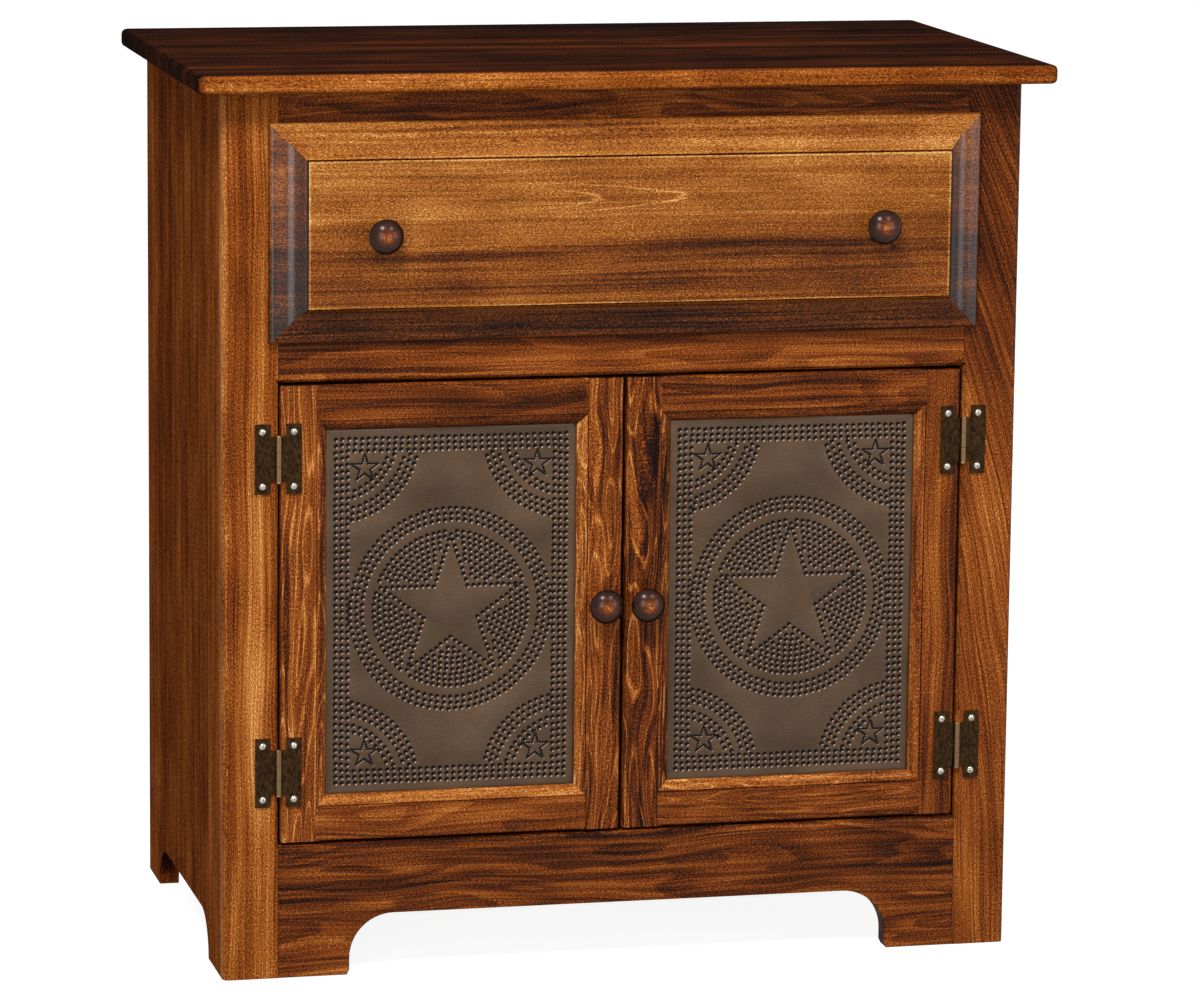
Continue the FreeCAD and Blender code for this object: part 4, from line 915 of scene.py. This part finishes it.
def on_circle(radius, pitch, turn=0.0):
    count = max(6, round(2 * math.pi * radius / pitch))
    return [
        Vector((radius * math.cos(angle), radius * math.sin(angle)))
        for angle in ((step + turn) * 2 * math.pi / count for step in range(count))
    ]


def border_punches():
    """Rows along the four sides, each row shifted by half a pitch."""
    points = []
    for row in range(BORDER_ROWS):
        half_width = BORDER_WIDTH / 2 - row * ROW_PITCH
        half_height = BORDER_HEIGHT / 2 - row * ROW_PITCH
        corners = [
            Vector((-half_width, -half_height)),
            Vector((half_width, -half_height)),
            Vector((half_width, half_height)),
            Vector((-half_width, half_height)),
        ]
        points += along_outline(corners, PUNCH_PITCH)
    return points


def centre_punches():
    """The ring, and the disc of rows round the plain star."""
    points = []
    for row, radius in enumerate(RING_RADII):
        points += on_circle(radius, PUNCH_PITCH, row / 2)
    outline = star(STAR_RADIUS)
    edge = along_outline(star(STAR_RADIUS + STAR_MARGIN), DISC_PITCH)
    edge = [point for point in edge if point.length < DISC_RADIUS + ROW_PITCH / 2]
    points += edge
    for row in range(int(DISC_RADIUS / DISC_ROW)):
        for point in on_circle(DISC_RADIUS - row * DISC_ROW, DISC_PITCH, row / 2):
            if inside(point, outline):
                continue
            if min((point - other).length for other in edge) > ROW_PITCH * DISC_CLEARANCE:
                points.append(point)
    return points


def corner_punches():
    """One corner, about the border's outer corner, filling the quarter where x, y > 0."""
    clear = (BORDER_ROWS - 0.5) * ROW_PITCH
    points = []
    for row, radius in enumerate(CORNER_RADII):
        count = round(math.pi / 2 * radius / PUNCH_PITCH)
        for step in range(count + 1):
            angle = (step + (row % 2) / 2) * PUNCH_PITCH / radius
            point = Vector((radius * math.cos(angle), radius * math.sin(angle)))
            if point.x > clear and point.y > clear:
                points.append(point)
    return points


def small_star_punches():
    """The outlines of the four small stars."""
    points = []
    for side, end in QUARTERS:
        x = side * (BORDER_WIDTH / 2 - SMALL_STAR_INSET)
        y = end * (BORDER_HEIGHT / 2 - SMALL_STAR_INSET)
        outline = along_outline(star(SMALL_STAR_RADIUS), SMALL_STAR_PITCH)
        points += [Vector((x, y)) + point for point in outline]
    return points


def panel_punches(seed):
    """Middle and radius of every punch of one panel, about its middle."""
    points = border_punches() + centre_punches()
    for side, end in QUARTERS:
        corner = Vector((side * BORDER_WIDTH / 2, end * BORDER_HEIGHT / 2))
        for point in corner_punches():
            points.append(corner - Vector((side * point.x, end * point.y)))
    slips = random.Random(seed)
    punches = []
    for point in points:
        slip = Vector((slips.uniform(-1, 1), slips.uniform(-1, 1))) * HAND_SLIP
        punches.append((point + slip, PUNCH_RADIUS))
    return punches + [(point, STAR_PUNCH_RADIUS) for point in small_star_punches()]


# Each dent has rings of points at these shares of its radius.
RING_SHARES = (1.1, 0.96, 0.7, 0.38)
RING_POINTS = 10


def dent(distance, radius):
    """Depth of the dent of a round-nosed punch at a distance from its middle."""
    share = distance / radius
    if share >= 1:
        return 0.0
    ball = math.sqrt(BALL_RADIUS**2 - (share * PUNCH_RADIUS) ** 2)
    return (ball - BALL_RADIUS + PUNCH_DEPTH) * radius / PUNCH_RADIUS


def tin_points(low, high, punches):
    """Rings of points round every punch, and the corners of the sheet."""
    points = []
    for centre, radius in punches:
        points.append(centre)
        for share in RING_SHARES:
            for step in range(RING_POINTS):
                angle = 2 * math.pi * step / RING_POINTS + share
                points.append(centre + Vector((math.cos(angle), math.sin(angle))) * radius * share)
    corners = [(low.x, low.y), (high.x, low.y), (high.x, high.y), (low.x, high.y)]
    return points + [Vector(corner) for corner in corners]


def dent_depths(points, punches):
    """How deep the sheet is dented at each point, looking only at the punches near it."""
    cell = 2 * PUNCH_RADIUS
    near = {}
    for centre, radius in punches:
        place = int(centre.x // cell), int(centre.y // cell)
        near.setdefault(place, []).append((centre, radius))
    depths = []
    for point in points:
        column, row = int(point.x // cell), int(point.y // cell)
        depth = 0.0
        for step_x in (-1, 0, 1):
            for step_y in (-1, 0, 1):
                for centre, radius in near.get((column + step_x, row + step_y), []):
                    depth = max(depth, dent((point - centre).length, radius))
        depths.append(depth)
    return depths


def tin_mesh(name, low, high, punches):
    """A sheet between two corners (x, z) whose front is dented at each punch."""
    points, _, faces, *_ = delaunay_2d_cdt(tin_points(low, high, punches), [], [], 0, 1e-6)
    depths = dent_depths(points, punches)
    mesh = bpy.data.meshes.new(name)
    mesh.from_pydata([(p.x, depth, p.y) for p, depth in zip(points, depths)], [], faces)
    layer = mesh.attributes.new(DENT_LAYER, "FLOAT", "POINT")
    layer.data.foreach_set("value", [depth / PUNCH_DEPTH for depth in depths])
    return mesh


def build_tin():
    tin = aged_tin()
    for number, side in enumerate(("left", "right")):
        node = f"{side}_door_tin_panel"
        low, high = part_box(node)
        middle = (low + high) / 2
        half = Vector(((high.x - low.x) / 2, (high.z - low.z) / 2))
        mesh = tin_mesh(f"{side}_punched_tin", -half, half, panel_punches(number))
        mesh.transform(Matrix.Translation((middle.x, low.y, middle.z)))
        mesh.materials.append(tin)
        mesh.shade_smooth()
        sheet = bpy.data.objects.new(f"{side}_punched_tin", mesh)
        bpy.context.scene.collection.objects.link(sheet)
        thickness = sheet.modifiers.new("thickness", "SOLIDIFY")
        thickness.thickness = high.y - low.y
        thickness.offset = -1.0
        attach(sheet, f"{side}_door")
        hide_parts(node)


# ---------------------------------------------------------------------------------------
# Eased edges
# ---------------------------------------------------------------------------------------

WOOD_EASING = 0.7 * MM
METAL_EASING = 0.25 * MM
EASING_SEGMENTS = 2
# Edges that turn by more than this are eased.
EASED_ANGLE = math.radians(40)
# Before that, points this near are one, and faces this level are joined.
WELD_DISTANCE = 0.002 * MM
FLAT_ANGLE = math.radians(0.5)


def ease_edges(width, *names):
    """Round the sharp edges of CAD nodes a little, as sanding or tumbling leaves them."""
    for name in names:
        piece = nodes[name]
        weld = piece.modifiers.new("weld", "WELD")
        weld.merge_threshold = WELD_DISTANCE
        flats = piece.modifiers.new("flats", "DECIMATE")
        flats.decimate_type = "DISSOLVE"
        flats.angle_limit = FLAT_ANGLE
        bevel = piece.modifiers.new("easing", "BEVEL")
        bevel.width = width
        bevel.segments = EASING_SEGMENTS
        bevel.limit_method = "ANGLE"
        bevel.angle_limit = EASED_ANGLE
        bevel.use_clamp_overlap = True
        shading = piece.modifiers.new("shading", "WEIGHTED_NORMAL")
        shading.keep_sharp = True


def ease_all():
    boards = ["left_side", "right_side", "left_stile", "right_stile"]
    boards += ["top_rail", "middle_rail", "bottom_apron", "shelf"]
    boards += DOOR_LOOKS
    ease_edges(WOOD_EASING, *boards)
    for side in ("left", "right"):
        ease_edges(METAL_EASING, f"{side}_frame_hinge_leaves", f"{side}_door_hinge_leaves")


# ---------------------------------------------------------------------------------------
# Studio
# ---------------------------------------------------------------------------------------

# The camera of the photo, solved from the cupboard's own right angles.
CAMERA_PLACE = (-1.2129, -5.1837, 1.3566)
CAMERA_YAW = math.radians(13.42)
CAMERA_PITCH = math.radians(10.08)
CAMERA_ROLL = math.radians(0.61)
SENSOR_WIDTH_MM = 36.0
FOCAL_PIXELS = 5563
IMAGE_WIDTH_PIXELS = 1200

FLOOR_HALF = 30.0
# The floor's glow near the cupboard and far away, and where it changes.
FLOOR_GLOW = (0.90, 1.0)
FLOOR_FADE_MM = (1200.0, 4000.0)
# The floor's grey where it is seen, and the grey that lights the cupboard.
FLOOR_SEEN = 0.3
FLOOR_DIM = 0.24
WORLD_LIGHT = 0.16
AIM = Vector((0.0, -0.05, 0.45))


def build_camera():
    data = bpy.data.cameras.new("camera")
    data.sensor_width = SENSOR_WIDTH_MM
    data.lens = FOCAL_PIXELS / IMAGE_WIDTH_PIXELS * SENSOR_WIDTH_MM
    data.clip_end = 100.0
    camera = bpy.data.objects.new("camera", data)
    yaw = Matrix.Rotation(-CAMERA_YAW, 4, "Z")
    pitch = Matrix.Rotation(math.pi / 2 - CAMERA_PITCH, 4, "X")
    roll = Matrix.Rotation(CAMERA_ROLL, 4, "Z")
    camera.matrix_world = Matrix.Translation(CAMERA_PLACE) @ yaw @ pitch @ roll
    bpy.context.scene.collection.objects.link(camera)
    bpy.context.scene.camera = camera


def softbox(name, place, width, height, power, aim=AIM):
    """A rectangular lamp: sizes in metres, power in watts."""
    data = bpy.data.lights.new(name, "AREA")
    data.shape = "RECTANGLE"
    data.size = width
    data.size_y = height
    data.energy = power
    lamp = bpy.data.objects.new(name, data)
    lamp.location = place
    lamp.rotation_euler = (Vector(aim) - Vector(place)).to_track_quat("-Z", "Y").to_euler()
    lamp.visible_camera = False
    bpy.context.scene.collection.objects.link(lamp)


def strip_light(name, x, y, width, height, power):
    """A tall upright softbox that stands on the floor and faces the cupboard."""
    middle = 0.5 * height
    softbox(name, (x, y, middle), width, height, power, aim=(0.0, 0.0, middle))


def seen_directly(tree):
    """1 for rays that show the background: camera, mirror and glass rays."""
    rays = tree.nodes.new("ShaderNodeLightPath")
    factor = rays.outputs["Is Camera Ray"]
    for name in ("Is Glossy Ray", "Is Transmission Ray"):
        larger = tree.nodes.new("ShaderNodeMath")
        larger.operation = "MAXIMUM"
        tree.links.new(factor, larger.inputs[0])
        tree.links.new(rays.outputs[name], larger.inputs[1])
        factor = larger.outputs[0]
    return factor


def build_floor():
    """A pale floor that throws back less light than it shows, and is white far away."""
    finish = Finish("pale_floor")
    dim = finish.add("ShaderNodeBsdfDiffuse")
    dim.inputs["Color"].default_value = (FLOOR_DIM, FLOOR_DIM, FLOOR_DIM, 1.0)
    pale = finish.add("ShaderNodeBsdfDiffuse")
    pale.inputs["Color"].default_value = (FLOOR_SEEN, FLOOR_SEEN, FLOOR_SEEN, 1.0)
    x, y, _ = finish.place()
    away = finish.math("SQRT", finish.total(finish.times(x, x), finish.times(y, y)))
    glow = finish.add("ShaderNodeEmission")
    finish.feed(glow.inputs["Strength"], finish.step(away, *FLOOR_FADE_MM, *FLOOR_GLOW))
    shown = finish.add("ShaderNodeAddShader")
    finish.feed(shown.inputs[0], pale.outputs[0])
    finish.feed(shown.inputs[1], glow.outputs[0])
    choice = finish.add("ShaderNodeMixShader")
    finish.feed(choice.inputs[0], seen_directly(finish.tree))
    finish.feed(choice.inputs[1], dim.outputs[0])
    finish.feed(choice.inputs[2], shown.outputs[0])
    finish.feed(finish.output.inputs["Surface"], choice.outputs[0])
    mesh = bpy.data.meshes.new("floor")
    reach = FLOOR_HALF
    corners = [(-reach, -reach, 0), (reach, -reach, 0), (reach, reach, 0), (-reach, reach, 0)]
    mesh.from_pydata(corners, [], [(0, 1, 2, 3)])
    mesh.materials.append(finish.material)
    floor = bpy.data.objects.new("floor", mesh)
    floor.location.z = -0.5 * MM
    bpy.context.scene.collection.objects.link(floor)


def build_studio():
    build_floor()
    softbox("key", (-1.5, -3.0, 4.1), 1.1, 1.1, 165)
    softbox("second_key", (2.1, -2.9, 3.8), 1.1, 1.1, 50)
    strip_light("left_strip", -2.1, -4.1, 1.7, 2.3, 72)
    strip_light("right_strip", 3.3, -3.1, 1.8, 2.3, 48)
    strip_light("right_side_strip", 3.9, 1.4, 0.9, 2.2, 44)
    strip_light("left_side_strip", -3.9, 1.4, 0.9, 2.2, 26)
    softbox("back_fill", (0.3, 3.6, 3.8), 2.4, 1.6, 70)
    world = bpy.data.worlds.new("studio")
    world.use_nodes = True
    tree = world.node_tree
    background = tree.nodes["Background"]
    background.inputs["Color"].default_value = (1.0, 1.0, 1.0, 1.0)
    strength = tree.nodes.new("ShaderNodeMapRange")
    strength.inputs["To Min"].default_value = WORLD_LIGHT
    strength.inputs["To Max"].default_value = 1.0
    tree.links.new(seen_directly(tree), strength.inputs["Value"])
    tree.links.new(strength.outputs["Result"], background.inputs["Strength"])
    bpy.context.scene.world = world
    bpy.context.scene.view_settings.view_transform = "Standard"


# ---------------------------------------------------------------------------------------
# The whole
# ---------------------------------------------------------------------------------------

build_camera()
build_studio()
finish_wood()
finish_metal()
build_tin()
ease_all()
